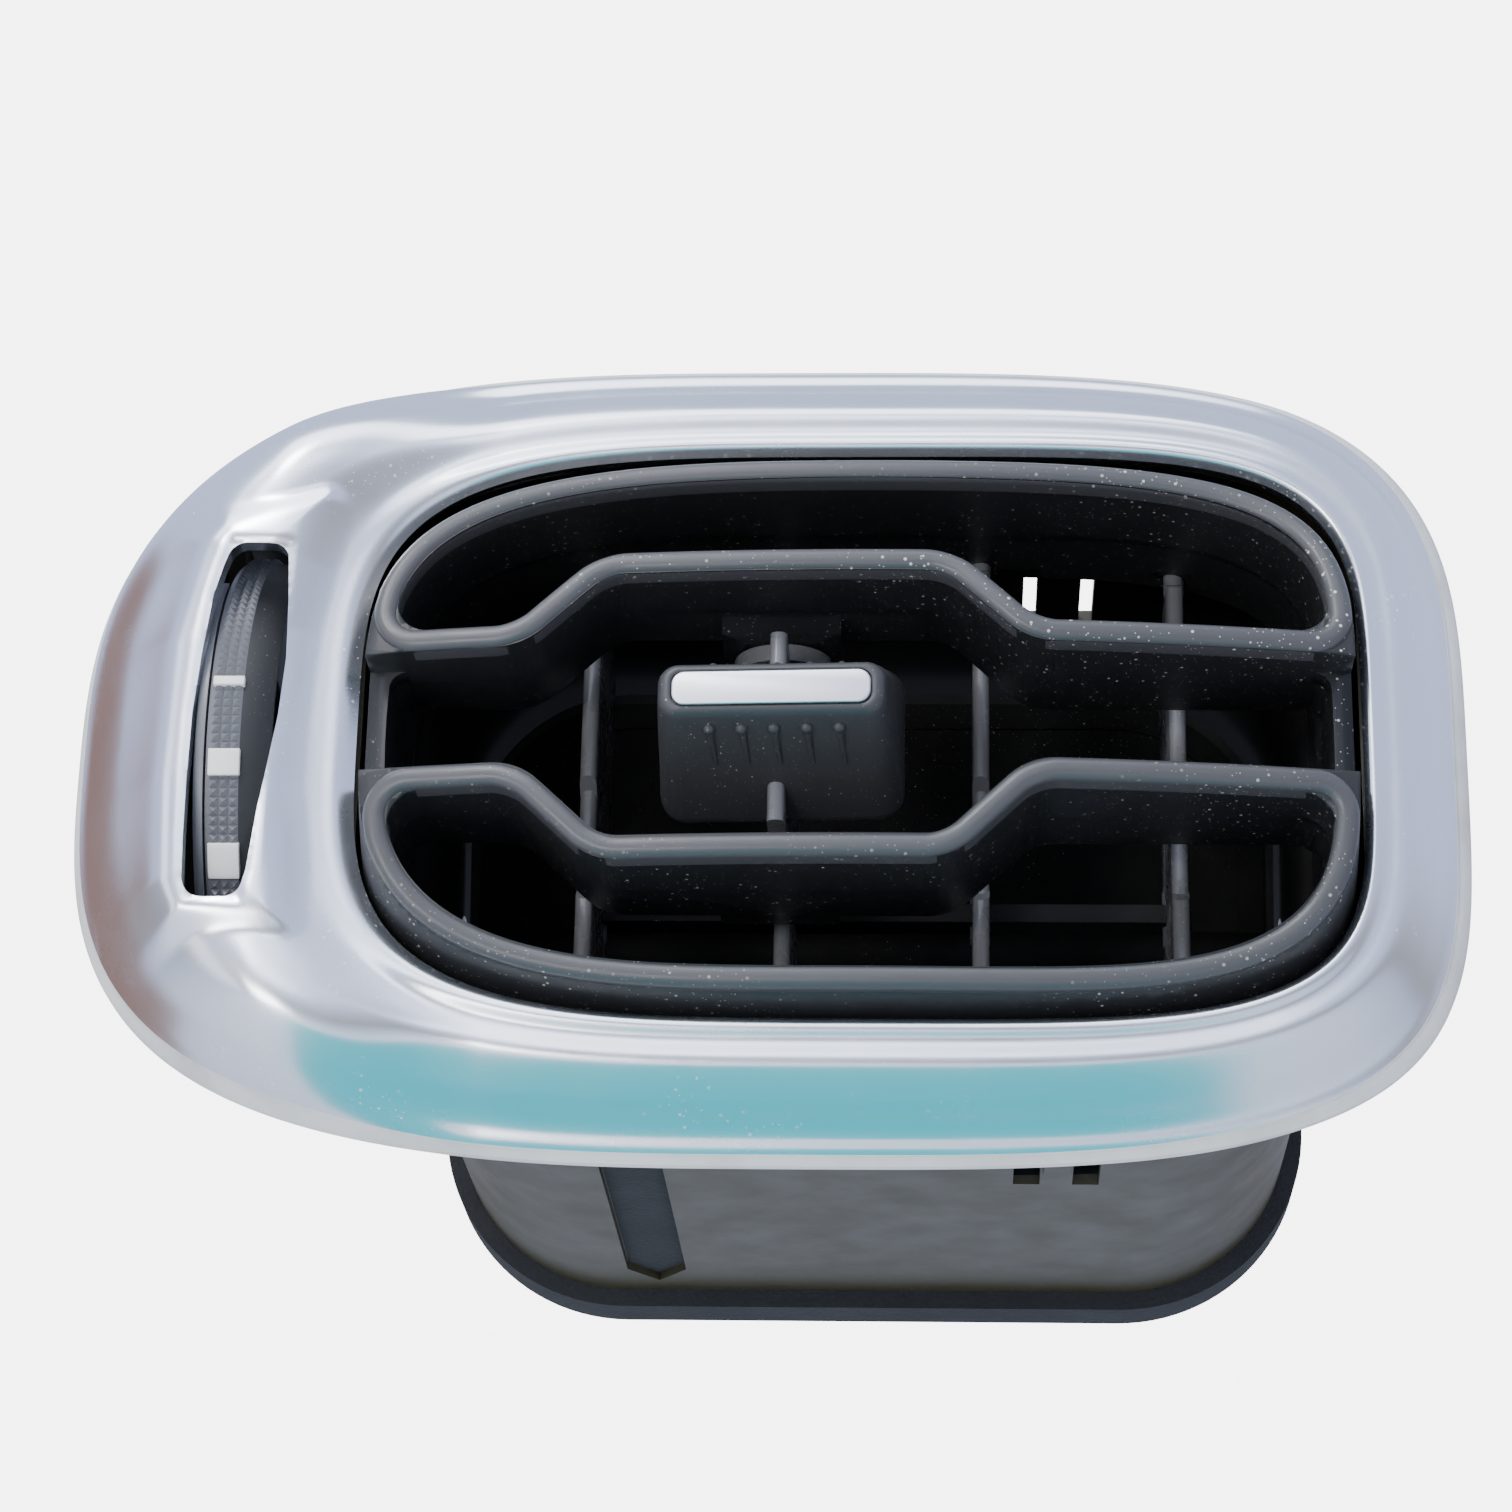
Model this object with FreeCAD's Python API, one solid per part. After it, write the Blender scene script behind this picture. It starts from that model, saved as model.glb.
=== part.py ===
import FreeCAD, Part
import math
import os

# A car's dashboard air vent, as mounted: +Z up, face towards -Y, duct towards +Y. Millimetres.
# The origin is the centre of the duct, on the rear face of the mounting flange.
V = FreeCAD.Vector
X_AXIS = V(1, 0, 0)
Y_AXIS = V(0, 1, 0)
Z_AXIS = V(0, 0, 1)

# Bezel outline, seen from the front: one rounded half to the right and a longer one to the left
bezel_mid_x = -12.4
bezel_right_reach = 86.7
bezel_left_reach = 85.0
bezel_half_height = 52.2
bezel_right_squareness = 3.8
bezel_left_squareness = 2.9
bezel_lip_y = -11.1
bezel_flat_left_x = -45.9
bezel_left_bow_radius = 200.0
bezel_flat_right_x = 48.7
bezel_right_bow_radius = 79.0
bezel_wall = 2.4
bezel_boss_radius = 2.8
flank_drop = 2.1
flank_crown = 0.5
lip_width = 1.6

# Opening of the bezel
opening_half_width = bezel_mid_x + bezel_right_reach - 13.8
opening_half_height = bezel_half_height - 15.7
opening_left_squareness = 3.7
opening_right_squareness = 4.5
opening_flare = 0.03
opening_y = -18.5

# Land of the bezel, its crease and the swelling that carries the thumbwheel
bead_rise = 1.3
crease_rise = 0.9
swelling_rise = 3.3
swelling_start_x = -44.0
swelling_end_x = -72.0

# Raised frame round the thumbwheel's slot
wheel_x = bezel_mid_x - bezel_left_reach + 22.9
slot_top_left = (wheel_x - 2.6, 22.4)
slot_top_right = (wheel_x + 4.4, 22.6)
slot_bottom_right = (wheel_x + 2.7, -21.8)
slot_bottom_left = (wheel_x - 4.8, -22.0)
slot_corner_radius = 1.6
pad_y = -23.5
pad_root_y = -14.0
pad_spread = 2.6
pad_corner_radius = 2.6
pad_wall = 1.8

# Barrel grille, which tilts about the line y = tilt_y, z = 0
tilt_y = -5.1
grille_half_width = opening_half_width - 1.2
grille_half_height = opening_half_height - 2.6
grille_left_squareness = 3.4
grille_right_squareness = 4.2
grille_band = 2.4
grille_back_y = 7.0
grille_skin = 2.0
dome_depth = 7.4
dome_front_y = -29.2
dome_power = 2.7
dome_bow_radius = 344.0
barrel_gap = 0.9
mid_recess_y = -18.6
pivot_radius = 3.0
pivot_length = 3.0

# The two S-shaped vanes of the grille
vane_flat_z = 8.85
vane_bulge_z = 18.25
bulge_left_x = -30.5
bulge_right_x = 11.0
bulge_slope_run = 10.0
vane_bend_radius = 7.0
vane_thickness = 2.8
vane_back_thickness = 2.1
vane_step_y = -15.7
vane_rear_y = -6.0
rear_step = 0.35
loop_corner_radius = 4.0
mid_corner_radius = 2.2

# Knob, its silver strip and the master vane that it clips on
knob_x = -9.6
knob_front_y = -31.7
knob_back_y = -13.0
knob_half_width = 13.4
knob_front_half_height = 3.1
knob_back_half_height = 10.2
knob_flare = 1.45
knob_yaw = 2.5
strip_half_width = 11.7
strip_half_height = 2.05
strip_thickness = 1.2
strip_proud = 0.25
rib_count = 5
rib_pitch = 3.85
rib_length = 6.0
tongue_front_y = -20.1
tongue_half_height = 12.2
tongue_slot_gap = 0.12
collar_radius = 6.1
collar_thickness = 2.1
collar_gap = 0.35
tab_half_width = 7.3
tab_front_y = -13.5
tab_back_y = 0.6
tab_z = 14.8

# Upright vanes and the bar that couples them
upright_pitch = 24.6
upright_front_y = 1.0
upright_back_y = 24.0
upright_axis_y = 4.0
upright_thickness = 2.1
upright_half_height = 30.7
upright_end_gap = 0.6
upright_swing = 1.8
upright_pin_length = 2.4
upright_back_half_height = 24.0
upright_step = 1.6
pin_radius = 1.3
pin_gap = 0.08
link_arm = 17.0
link_z = -10.0
link_thickness = 2.4
link_half_width = 2.4
link_notch = 5.2

# Housing: mouth box round the barrel, flange, and the duct behind
wall = 2.2
mouth_half_width = opening_half_width + 2.1
mouth_half_height = opening_half_height + 5.0
mouth_corner = 25.0
mouth_front_y = -15.5
mouth_back_y = 15.0
duct_half_width = mouth_half_width - 3.6
duct_half_height = mouth_half_height - 1.0
duct_corner = 24.0
duct_back_y = 104.0
flange_thickness = 3.0
flange_inset = 4.0
wheel_window_top = 32.6
clip_slot_xs = (19.3, 26.9)
clip_slot_width = 3.4
clip_slot_front_y = 24.0
clip_slot_back_y = 37.0
clip_hook_height = 2.2
left_slot_xs = (-39.4, -35.6)
channel_left_x = -33.8
channel_right_x = -25.6
channel_end_y = 81.0
channel_tip_y = 87.0
channel_depth = 1.1
seal_front_y = 92.0
seal_width = 8.0
seal_thickness = 2.5

# Thumbwheel, its bracket and axle
wheel_width = 5.4
wheel_y = 8.5
wheel_radius = 32.0
wheel_tread = 2.4
wheel_teeth = 90
wheel_tooth_depth = 0.6
wheel_rim = 2.2
wheel_hub_radius = 6.0
wheel_web = 2.0
axle_radius = 2.5
running_gap = 0.05
mark_angles = ((6.8, 9.0), (-14.0, -8.1), (-38.2, -29.9))
mark_width = 4.2
mark_proud = 0.15
bracket_plate = 2.0
bracket_gap = 1.0

# Crank, rod and damper
crank_arm = 12.0
crank_rest_angle = 51.0
damper_y = 64.5
damper_rest_angle = -78.0
damper_half_width = duct_half_width - 4.4
damper_half_length = duct_half_height - 4.9
damper_corner = 21.0
damper_thickness = 2.4
damper_shaft_radius = 3.0
seal_lip = 1.4
seal_lip_thickness = 1.2
crank_x = -duct_half_width - 6.2
crank_thickness = 1.8
rod_x = crank_x - 2.7
rod_thickness = 1.6
rod_eye_radius = 3.2
rod_half_width = 1.8
bush_radius = 5.5
bush_flange = 1.2
grille_bush_radius = 4.4
bearing_wall = 1.0

# Screws that hold the bezel on the flange
screw_radius = 1.2
screw_head_radius = 2.2
screw_head_height = 1.6
screw_depth = 5.0
boss_places = tuple((x, side * z) for side in (1, -1)
                    for x, z in ((-52.0, bezel_half_height - 10.7), (-10.0, bezel_half_height - 7.6),
                                 (30.0, bezel_half_height - 7.7), (opening_half_width + 5.7, 14.0),
                                 (wheel_x - 13.5, 7.0)))


# Small helpers

def power(value, exponent):
    return math.copysign(abs(value) ** exponent, value)


def cylinder(radius, height, base, direction):
    return Part.makeCylinder(radius, height, base, direction)


def tube(outer, inner, height, base, direction):
    return cylinder(outer, height, base, direction).cut(cylinder(inner, height, base, direction))


def block(x0, x1, y0, y1, z0, z1):
    return Part.makeBox(x1 - x0, y1 - y0, z1 - z0, V(x0, y0, z0))


def one(shape):
    """The shape's only solid, with faces that lie in one surface joined."""
    shape = shape.removeSplitter()
    solids = shape.Solids
    return solids[0] if len(solids) == 1 else Part.makeCompound(solids)


def closed_curve(points):
    """A smooth closed wire through the points."""
    curve = Part.BSplineCurve()
    curve.interpolate(Points=points, PeriodicFlag=True)
    return Part.Wire([curve.toShape()])


def rounded_polygon(corners, radius, y):
    """A flat wire at depth y through (x, z) corners, each rounded by an arc."""
    points = [V(x, y, z) for x, z in corners]
    count = len(points)
    edges = []
    starts = []
    ends = []
    for index in range(count):
        here = points[index]
        before = (points[index - 1] - here).normalize()
        after = (points[(index + 1) % count] - here).normalize()
        half = before.getAngle(after) / 2
        reach = radius / math.tan(half)
        middle = (before + after).normalize() * (radius / math.sin(half) - radius)
        starts.append(here + before * reach)
        ends.append(here + after * reach)
        edges.append(Part.Arc(starts[-1], here + middle, ends[-1]).toShape())
    for index in range(count):
        edges.append(Part.LineSegment(ends[index], starts[(index + 1) % count]).toShape())
    return Part.Wire(Part.__sortEdges__(edges))


def rounded_rectangle(half_width, half_height, radius, y, x=0.0, z=0.0):
    corners = [(x - half_width, z - half_height), (x + half_width, z - half_height),
               (x + half_width, z + half_height), (x - half_width, z + half_height)]
    return rounded_polygon(corners, radius, y)


def pushed(wire, depth):
    """The wire's face pushed along Y."""
    return Part.Face(wire).extrude(V(0, depth, 0))


def squircle(half_width, half_height, squareness, angle):
    return (half_width * power(math.cos(angle), 2 / squareness),
            half_height * power(math.sin(angle), 2 / squareness))


# Bezel

outline_points = 40


def outer_point(angle):
    right = math.cos(angle) >= 0
    reach = bezel_right_reach if right else bezel_left_reach
    squareness = bezel_right_squareness if right else bezel_left_squareness
    x, z = squircle(reach, bezel_half_height, squareness, angle)
    return bezel_mid_x + x, z


def roll_back(x):
    """How far the bezel falls away behind its middle, at its two ends."""
    left = max(0.0, bezel_flat_left_x - x)
    right = max(0.0, x - bezel_flat_right_x)
    return left ** 2 / (2 * bezel_left_bow_radius) + right ** 2 / (2 * bezel_right_bow_radius)


def swelling(x):
    share = (swelling_start_x - x) / (swelling_start_x - swelling_end_x)
    share = min(1.0, max(0.0, share))
    return swelling_rise * share * share * (3 - 2 * share)


def bezel_level(share, depth, swell=0.0):
    """A closed curve between the opening (share 0) and the lip (share 1)."""
    points = []
    for index in range(outline_points):
        angle = 2 * math.pi * (index + 0.5) / outline_points
        squareness = opening_right_squareness if math.cos(angle) >= 0 else opening_left_squareness
        ax, az = squircle(opening_half_width, opening_half_height, squareness, angle)
        bx, bz = outer_point(angle)
        x = ax + (bx - ax) * share
        z = az + (bz - az) * share
        points.append(V(x, depth + roll_back(x) - swell * swelling(x), z))
    return closed_curve(points)


def ring_solid(levels):
    """A closed skin through a loop of closed curves, made a solid."""
    faces = []
    for index, level in enumerate(levels):
        following = levels[(index + 1) % len(levels)]
        faces += Part.makeRuledSurface(level, following).Faces
    shell = Part.Shell(faces)
    solid = Part.Solid(shell)
    if solid.Volume < 0:
        solid.reverse()
    return solid


def bezel_levels():
    """The bezel's section from the opening to the lip: share, depth and how much of the swelling it takes."""
    crease_y = opening_y - crease_rise
    flank_y = bezel_lip_y - flank_drop
    middle_y = (crease_y + flank_y) / 2 - flank_crown
    return [(0.0, opening_y, 0.25), (0.10, opening_y - bead_rise, 0.4), (0.18, crease_y, 0.8),
            (0.39, crease_y, 1.5), (0.60, middle_y, 2.4), (0.78, flank_y, 2.5),
            (0.92, (flank_y + bezel_lip_y) / 2 - 0.1, 1.2), (1.0, bezel_lip_y, 0.0)]


def bezel_ring(front_shift, back_levels):
    levels = [bezel_level(share, depth + front_shift, swell) for share, depth, swell in bezel_levels()]
    return ring_solid(levels + [bezel_level(*level) for level in back_levels])


def make_bezel():
    back = [(share - 0.02, depth + bezel_wall, swell) for share, depth, swell in bezel_levels()[1:-1]]
    back = [(1.0, bezel_lip_y + lip_width, 0.0), (0.965, bezel_lip_y + lip_width, 0.0)] + back[::-1]
    back += [(opening_flare, opening_y + bezel_wall, 0.25)]
    skin = bezel_ring(0.0, back)
    behind = bezel_ring(bezel_wall / 2, [(1.0, 20.0, 0.0), (0.0, 20.0, 0.0)])
    slot = [slot_bottom_left, slot_bottom_right, slot_top_right, slot_top_left]
    pad = pad_block(0.0, pad_y)
    hollow = pad_block(-pad_wall, pad_y + bezel_wall).common(behind)
    ahead = bezel_ring(bezel_wall, [(1.0, -60.0, 0.0), (0.0, -60.0, 0.0)])
    bezel = skin.fuse(pad.common(ahead)).cut(hollow)
    bezel = bezel.cut(pushed(rounded_polygon(slot, slot_corner_radius, -60), 60))
    bezel = bezel.cut(barrel_body(barrel_gap))
    for x, z in boss_places:
        boss = tube(bezel_boss_radius, screw_radius, 40 - flange_thickness, V(x, -40, z), Y_AXIS)
        bezel = bezel.fuse(boss.common(behind))
    return one(bezel)


def pad_block(grow, front_y):
    """The raised frame round the slot, wider at its root."""
    front = [(slot_bottom_left[0] - 3.4, slot_bottom_left[1] - 3.6), (slot_bottom_right[0] + 4.1, -26.0),
             (slot_bottom_right[0] + 1.9, -6.0), (slot_top_right[0] + 0.9, 10.0),
             (slot_top_right[0] + 4.6, 28.6), (slot_top_left[0] - 2.6, slot_top_left[1] + 3.2),
             (slot_top_left[0] - 6.0, 4.0)]
    middle_x = (slot_top_left[0] + slot_bottom_right[0]) / 2
    front = [(x + math.copysign(grow, x - middle_x), z + math.copysign(grow, z)) for x, z in front]
    root = [(x + math.copysign(pad_spread, x - middle_x), z + math.copysign(pad_spread, z)) for x, z in front]
    return Part.makeLoft([rounded_polygon(front, pad_corner_radius, front_y),
                          rounded_polygon(root, pad_corner_radius + pad_spread / 2, pad_root_y)], True, True)


# Barrel grille

def dome_y(z):
    share = min(1.0, abs(z) / grille_half_height)
    return dome_front_y + dome_depth * share ** dome_power


def bow(x):
    return x * x / (2 * dome_bow_radius)


def outline_height(x, half_width, half_height):
    """Half the height, at x, of an outline of the grille's form."""
    squareness = grille_right_squareness if x >= 0 else grille_left_squareness
    share = min(1.0, abs(x) / half_width)
    return half_height * (1 - share ** squareness) ** (1 / squareness)


def barrel_radius(x):
    """Radius of the barrel about the tilt line, so that its front edge has the grille's outline."""
    z = outline_height(x, grille_half_width, grille_half_height)
    front = dome_y(z) + bow(x)
    return math.hypot(z, front - tilt_y) if z > 0 else abs(front - tilt_y)


def barrel_body(grow):
    """The barrel as a body turned about the tilt line, larger by a gap."""
    shares = (-1.0, -0.985, -0.94, -0.86, -0.72, -0.5, -0.25, 0.0, 0.25, 0.5, 0.72, 0.86, 0.94, 0.985, 1.0)
    end = grille_half_width + grow
    points = [V(end * share, tilt_y + barrel_radius(grille_half_width * share) + grow, 0) for share in shares]
    curve = Part.BSplineCurve()
    curve.interpolate(points)
    left = V(-end, tilt_y, 0)
    right = V(end, tilt_y, 0)
    edges = [curve.toShape(), Part.makeLine(points[-1], right), Part.makeLine(right, left),
             Part.makeLine(left, points[0])]
    return Part.Face(Part.Wire(edges)).revolve(left, X_AXIS, 360)


def dome_body(back_y):
    """Everything behind the grille's domed front, as a body turned about a far upright line."""
    reach = grille_half_height + 12
    heights = (-reach, -33.9, -28.0, -20.0, -10.0, 0.0, 10.0, 20.0, 28.0, 33.9, reach)
    points = []
    for z in heights:
        slope = dome_depth * dome_power / grille_half_height
        beyond = max(0.0, abs(z) - grille_half_height) * slope
        points.append(V(0, dome_y(z) + beyond, z))
    curve = Part.BSplineCurve()
    curve.interpolate(points)
    top = V(0, back_y, reach)
    bottom = V(0, back_y, -reach)
    edges = [curve.toShape(), Part.makeLine(points[-1], top), Part.makeLine(top, bottom),
             Part.makeLine(bottom, points[0])]
    section = Part.Face(Part.Wire(edges))
    centre = V(0, dome_front_y + dome_bow_radius, 0)
    half_angle = 14.0
    section.rotate(centre, Z_AXIS, -half_angle)
    return section.revolve(centre, Z_AXIS, 2 * half_angle)


def bent_side(route, shift):
    """One side of a band that follows the route's straight runs and arcs, shifted to its left."""
    edges = []
    previous = None
    for index in range(1, len(route) - 1):
        here = route[index]
        before = (route[index - 1] - here).normalize()
        after = (route[index + 1] - here).normalize()
        half = before.getAngle(after) / 2
        centre = here + (before + after).normalize() * (vane_bend_radius / math.sin(half))
        turns_left = (before.x * after.z - before.z * after.x) < 0
        radius = vane_bend_radius - shift if turns_left else vane_bend_radius + shift
        reach = vane_bend_radius / math.tan(half)
        start, middle, end = [centre + (point - centre).normalize() * radius
                              for point in (here + before * reach, here, here + after * reach)]
        if previous is None:
            previous = V(route[0].x, 0, route[0].z + shift)
        edges.append(Part.makeLine(previous, start))
        edges.append(Part.Arc(start, middle, end).toShape())
        previous = end
    last = V(route[-1].x, 0, route[-1].z + shift)
    edges.append(Part.makeLine(previous, last))
    return edges, last


def vane_band(side, thickness):
    """Closed wire of one S-shaped vane's section, the upper (side 1) or the lower (side -1)."""
    reach = grille_half_width + 4
    route = [(-reach, vane_flat_z), (bulge_left_x - bulge_slope_run, vane_flat_z),
             (bulge_left_x, vane_bulge_z), (bulge_right_x, vane_bulge_z),
             (bulge_right_x + bulge_slope_run, vane_flat_z), (reach, vane_flat_z)]
    route = [V(x, 0, side * z) for x, z in route]
    above, above_end = bent_side(route, thickness / 2)
    below, below_end = bent_side(route, -thickness / 2)
    start = Part.makeLine(route[0] + Z_AXIS * (thickness / 2), route[0] - Z_AXIS * (thickness / 2))
    return Part.Wire(Part.__sortEdges__(above + below + [start, Part.makeLine(above_end, below_end)]))


def vane_solid(side, thickness, y0, y1):
    wire = vane_band(side, thickness)
    wire.translate(V(0, y0, 0))
    return pushed(wire, y1 - y0)


def grille_inner(y0, y1, grow=0.0):
    points = []
    for index in range(outline_points):
        angle = 2 * math.pi * (index + 0.5) / outline_points
        squareness = grille_right_squareness if math.cos(angle) >= 0 else grille_left_squareness
        x, z = squircle(grille_half_width - grille_band + grow, grille_half_height - grille_band + grow,
                        squareness, angle)
        points.append(V(x, y0, z))
    return pushed(closed_curve(points), y1 - y0)


def air_pockets(thickness, y0, y1):
    """The three openings between the vanes, with round corners where a vane meets the ring."""
    pockets = grille_inner(y0, y1)
    for side in (1, -1):
        pockets = pockets.cut(vane_solid(side, thickness, y0 - 1, y1 + 1))
    rounded = []
    for pocket in pockets.Solids:
        middle = abs(pocket.CenterOfMass.z) < 1
        radius = mid_corner_radius if middle else loop_corner_radius
        corners = [edge for edge in pocket.Edges
                   if edge.BoundBox.ZLength < 0.01 and edge.BoundBox.XLength < 0.01
                   and abs(edge.CenterOfMass.x) > grille_half_width - 6
                   and abs(abs(edge.CenterOfMass.z) - vane_flat_z) < thickness]
        rounded.append(pocket.makeFillet(radius, corners))
    return rounded


def make_grille():
    front = dome_front_y - 4
    body = barrel_body(0).common(block(-70, 70, front, grille_back_y, -50, 50))
    for pocket in air_pockets(vane_thickness, front, vane_step_y):
        body = body.cut(pocket)
    for pocket in air_pockets(vane_back_thickness, vane_step_y, vane_rear_y):
        body = body.cut(pocket)
    body = body.cut(grille_inner(vane_rear_y, grille_back_y, rear_step))
    # Cored from behind, so that the ring has an outer skin and an inner wall
    core = barrel_body(-grille_skin).common(block(-70, 70, tilt_y - 7, grille_back_y, -50, 50))
    core = core.cut(grille_inner(front, grille_back_y, grille_skin))
    end_room = grille_half_width - 4.6
    body = body.cut(core.common(block(-end_room, end_room, front, 20, -50, 50)))
    tab_height = vane_bulge_z - 0.2 - tab_z
    for side in (1, -1):
        z0 = min(side * tab_z, side * (tab_z + tab_height))
        body = body.fuse(block(knob_x - tab_half_width, knob_x + tab_half_width, tab_front_y, tab_back_y,
                               z0, z0 + tab_height))
    body = body.common(dome_body(60))
    # The ring's sides stand back between the two loops
    recess_z = vane_flat_z - vane_thickness / 2
    for x0, x1 in ((-70, -grille_half_width + 5.5), (grille_half_width - 5.5, 70)):
        recess = block(x0, x1, front, mid_recess_y, -recess_z, recess_z)
        body = body.cut(recess)
    for side in (1, -1):
        pin = cylinder(pivot_radius, pivot_length + 0.6, V(side * (grille_half_width - 0.6), tilt_y, 0),
                       X_AXIS * side)
        body = body.fuse(pin)
        hole = cylinder(1.5 + pin_gap, 6, V(knob_x, tilt_y, side * (tab_z - 1)), Z_AXIS * side)
        body = body.cut(hole)
        for index in (-1, 1, 2):
            x = knob_x + index * upright_pitch
            start = upright_height(x) - 1
            hole = cylinder(pin_radius + pin_gap, upright_pin_length + 1.3, V(x, upright_axis_y, side * start),
                            Z_AXIS * side)
            body = body.cut(hole)
    return one(body)


# Knob

def make_knob_body():
    front = rounded_rectangle(knob_half_width, knob_front_half_height, 2.6, knob_front_y + 0.8, knob_x)
    face = rounded_rectangle(knob_half_width - 0.8, knob_front_half_height - 0.8, 2.0, knob_front_y, knob_x)
    back = rounded_rectangle(knob_half_width + knob_flare, knob_back_half_height, 3.6, knob_back_y, knob_x)
    nose = Part.makeLoft([face, front], True, True)
    body = Part.makeLoft([front, back], True, True)
    knob = nose.fuse(body)
    pocket = rounded_rectangle(strip_half_width + 0.1, strip_half_height + 0.1, 1.7,
                               knob_front_y - 1, knob_x)
    knob = knob.cut(pushed(pocket, 1 + strip_thickness - strip_proud))
    rise = (knob_back_half_height - knob_front_half_height) / (knob_back_y - knob_front_y)
    for side in (1, -1):
        for index in range(rib_count):
            x = knob_x + (index - (rib_count - 1) / 2) * rib_pitch
            y0 = knob_front_y + 2.4
            z0 = knob_front_half_height + rise * (y0 - knob_front_y - 0.8)
            z1 = knob_front_half_height + rise * (y0 + rib_length - knob_front_y - 0.8)
            rib = Part.makeCone(0.75, 0.2, rib_length, V(x, y0, side * z0), V(0, rib_length, side * (z1 - z0)))
            knob = knob.fuse(rib)
    knob.rotate(V(knob_x, tilt_y, 0), Z_AXIS, -knob_yaw)
    half = upright_thickness / 2 + tongue_slot_gap
    slot = block(knob_x - half, knob_x + half, tongue_front_y - tongue_slot_gap, 0, -30, 30)
    return one(knob.cut(slot))


def make_knob_strip():
    strip = pushed(rounded_rectangle(strip_half_width, strip_half_height, 1.6,
                                     knob_front_y - strip_proud, knob_x), strip_thickness)
    strip.rotate(V(knob_x, tilt_y, 0), Z_AXIS, -knob_yaw)
    return one(strip)


# Upright vanes

def upright_height(x):
    """Half the height of the upright vane at x: it must swing clear of the ring's inner wall."""
    furthest = abs(x) + upright_swing
    inner = outline_height(math.copysign(furthest, x), grille_half_width - grille_band,
                           grille_half_height - grille_band)
    return min(upright_half_height, inner - upright_end_gap)


def upright_plate(x, front_y, link_pin_y):
    """One upright vane: a plate with a rounded front edge, stepped, with a notch and pin for the bar."""
    half = upright_thickness / 2
    tall = upright_height(x)
    step_back = front_y + upright_step
    corners = [(step_back, -tall), (front_y, -tall + 1), (front_y, -14.6), (step_back, -13.2),
               (step_back, 0.4), (front_y, 1.8), (front_y, tall - 1), (step_back, tall),
               (upright_axis_y + 6, tall), (upright_back_y, upright_back_half_height),
               (upright_back_y, -upright_back_half_height), (upright_axis_y + 6, -tall)]
    points = [V(x - half, y, z) for y, z in corners]
    wire = Part.makePolygon(points + [points[0]])
    plate = Part.Face(wire).extrude(V(upright_thickness, 0, 0))
    front_edges = [edge for edge in plate.Edges
                   if edge.BoundBox.YMax < step_back + 0.01 and edge.BoundBox.XLength < 0.01
                   and edge.BoundBox.ZLength > 4]
    plate = plate.makeFillet(half * 0.9, front_edges)
    notch = block(x - 5, x + 5, link_pin_y - link_half_width - 1.4, upright_back_y + 1,
                  link_z - link_notch / 2, link_z + link_notch / 2)
    plate = plate.cut(notch)
    pin = cylinder(pin_radius, link_notch + 2, V(x, link_pin_y, link_z - link_notch / 2 - 1), Z_AXIS)
    return plate.fuse(pin)


def make_upright(index):
    x = knob_x + index * upright_pitch
    vane = upright_plate(x, upright_front_y, upright_axis_y + link_arm)
    for side in (1, -1):
        vane = vane.fuse(cylinder(pin_radius, upright_pin_length + 1,
                                  V(x, upright_axis_y, side * (upright_height(x) - 1)), Z_AXIS * side))
    return one(vane)


def make_master_vane():
    vane = upright_plate(knob_x, upright_front_y + 2.2, tilt_y + link_arm)
    half = upright_thickness / 2
    tongue = block(knob_x - half, knob_x + half, tongue_front_y, upright_front_y + 5,
                   -tongue_half_height, tongue_half_height)
    nose = [edge for edge in tongue.Edges if edge.BoundBox.YMax < tongue_front_y + 0.01
            and edge.BoundBox.ZLength > 4]
    vane = vane.fuse(tongue.makeFillet(half * 0.9, nose))
    top = tab_z - collar_gap
    for side in (1, -1):
        disc = cylinder(collar_radius, collar_thickness, V(knob_x, tilt_y, side * (top - collar_thickness)),
                        Z_AXIS * side)
        dish = cylinder(collar_radius - 1.0, collar_thickness - 1.0,
                        V(knob_x, tilt_y, side * (top - collar_thickness)), Z_AXIS * side)
        pin = cylinder(1.5, 2.9, V(knob_x, tilt_y, side * (top - 0.5)), Z_AXIS * side)
        rib = block(knob_x - 1.0, knob_x + 1.0, tilt_y - collar_radius + 0.4, tilt_y + collar_radius - 0.4,
                    min(side * (tongue_half_height - 1), side * (top - 0.5)),
                    max(side * (tongue_half_height - 1), side * (top - 0.5)))
        vane = vane.fuse(disc.cut(dish)).fuse(pin).fuse(rib)
    return one(vane)


def make_vane_link():
    pin_y = upright_axis_y + link_arm
    master_pin_y = tilt_y + link_arm
    z0 = link_z - link_thickness / 2
    xs = [knob_x + index * upright_pitch for index in (-1, 0, 1, 2)]
    bar = block(xs[0], xs[-1], pin_y - link_half_width, pin_y + link_half_width, z0, z0 + link_thickness)
    leg = block(knob_x - link_half_width, knob_x + link_half_width, master_pin_y, pin_y,
                z0, z0 + link_thickness)
    bar = bar.fuse(leg)
    for x, y in ((xs[0], pin_y), (xs[-1], pin_y), (knob_x, master_pin_y)):
        bar = bar.fuse(cylinder(link_half_width, link_thickness, V(x, y, z0), Z_AXIS))
    for x, y in ((xs[0], pin_y), (xs[2], pin_y), (xs[3], pin_y), (knob_x, master_pin_y)):
        bar = bar.cut(cylinder(pin_radius + pin_gap, link_thickness, V(x, y, z0), Z_AXIS))
    return one(bar)


# Housing

def box_shell(half_width, half_height, corner, y0, y1):
    outer = pushed(rounded_rectangle(half_width, half_height, corner, y0), y1 - y0)
    inner = pushed(rounded_rectangle(half_width - wall, half_height - wall, corner - wall, y0), y1 - y0)
    return outer.cut(inner)


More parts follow.
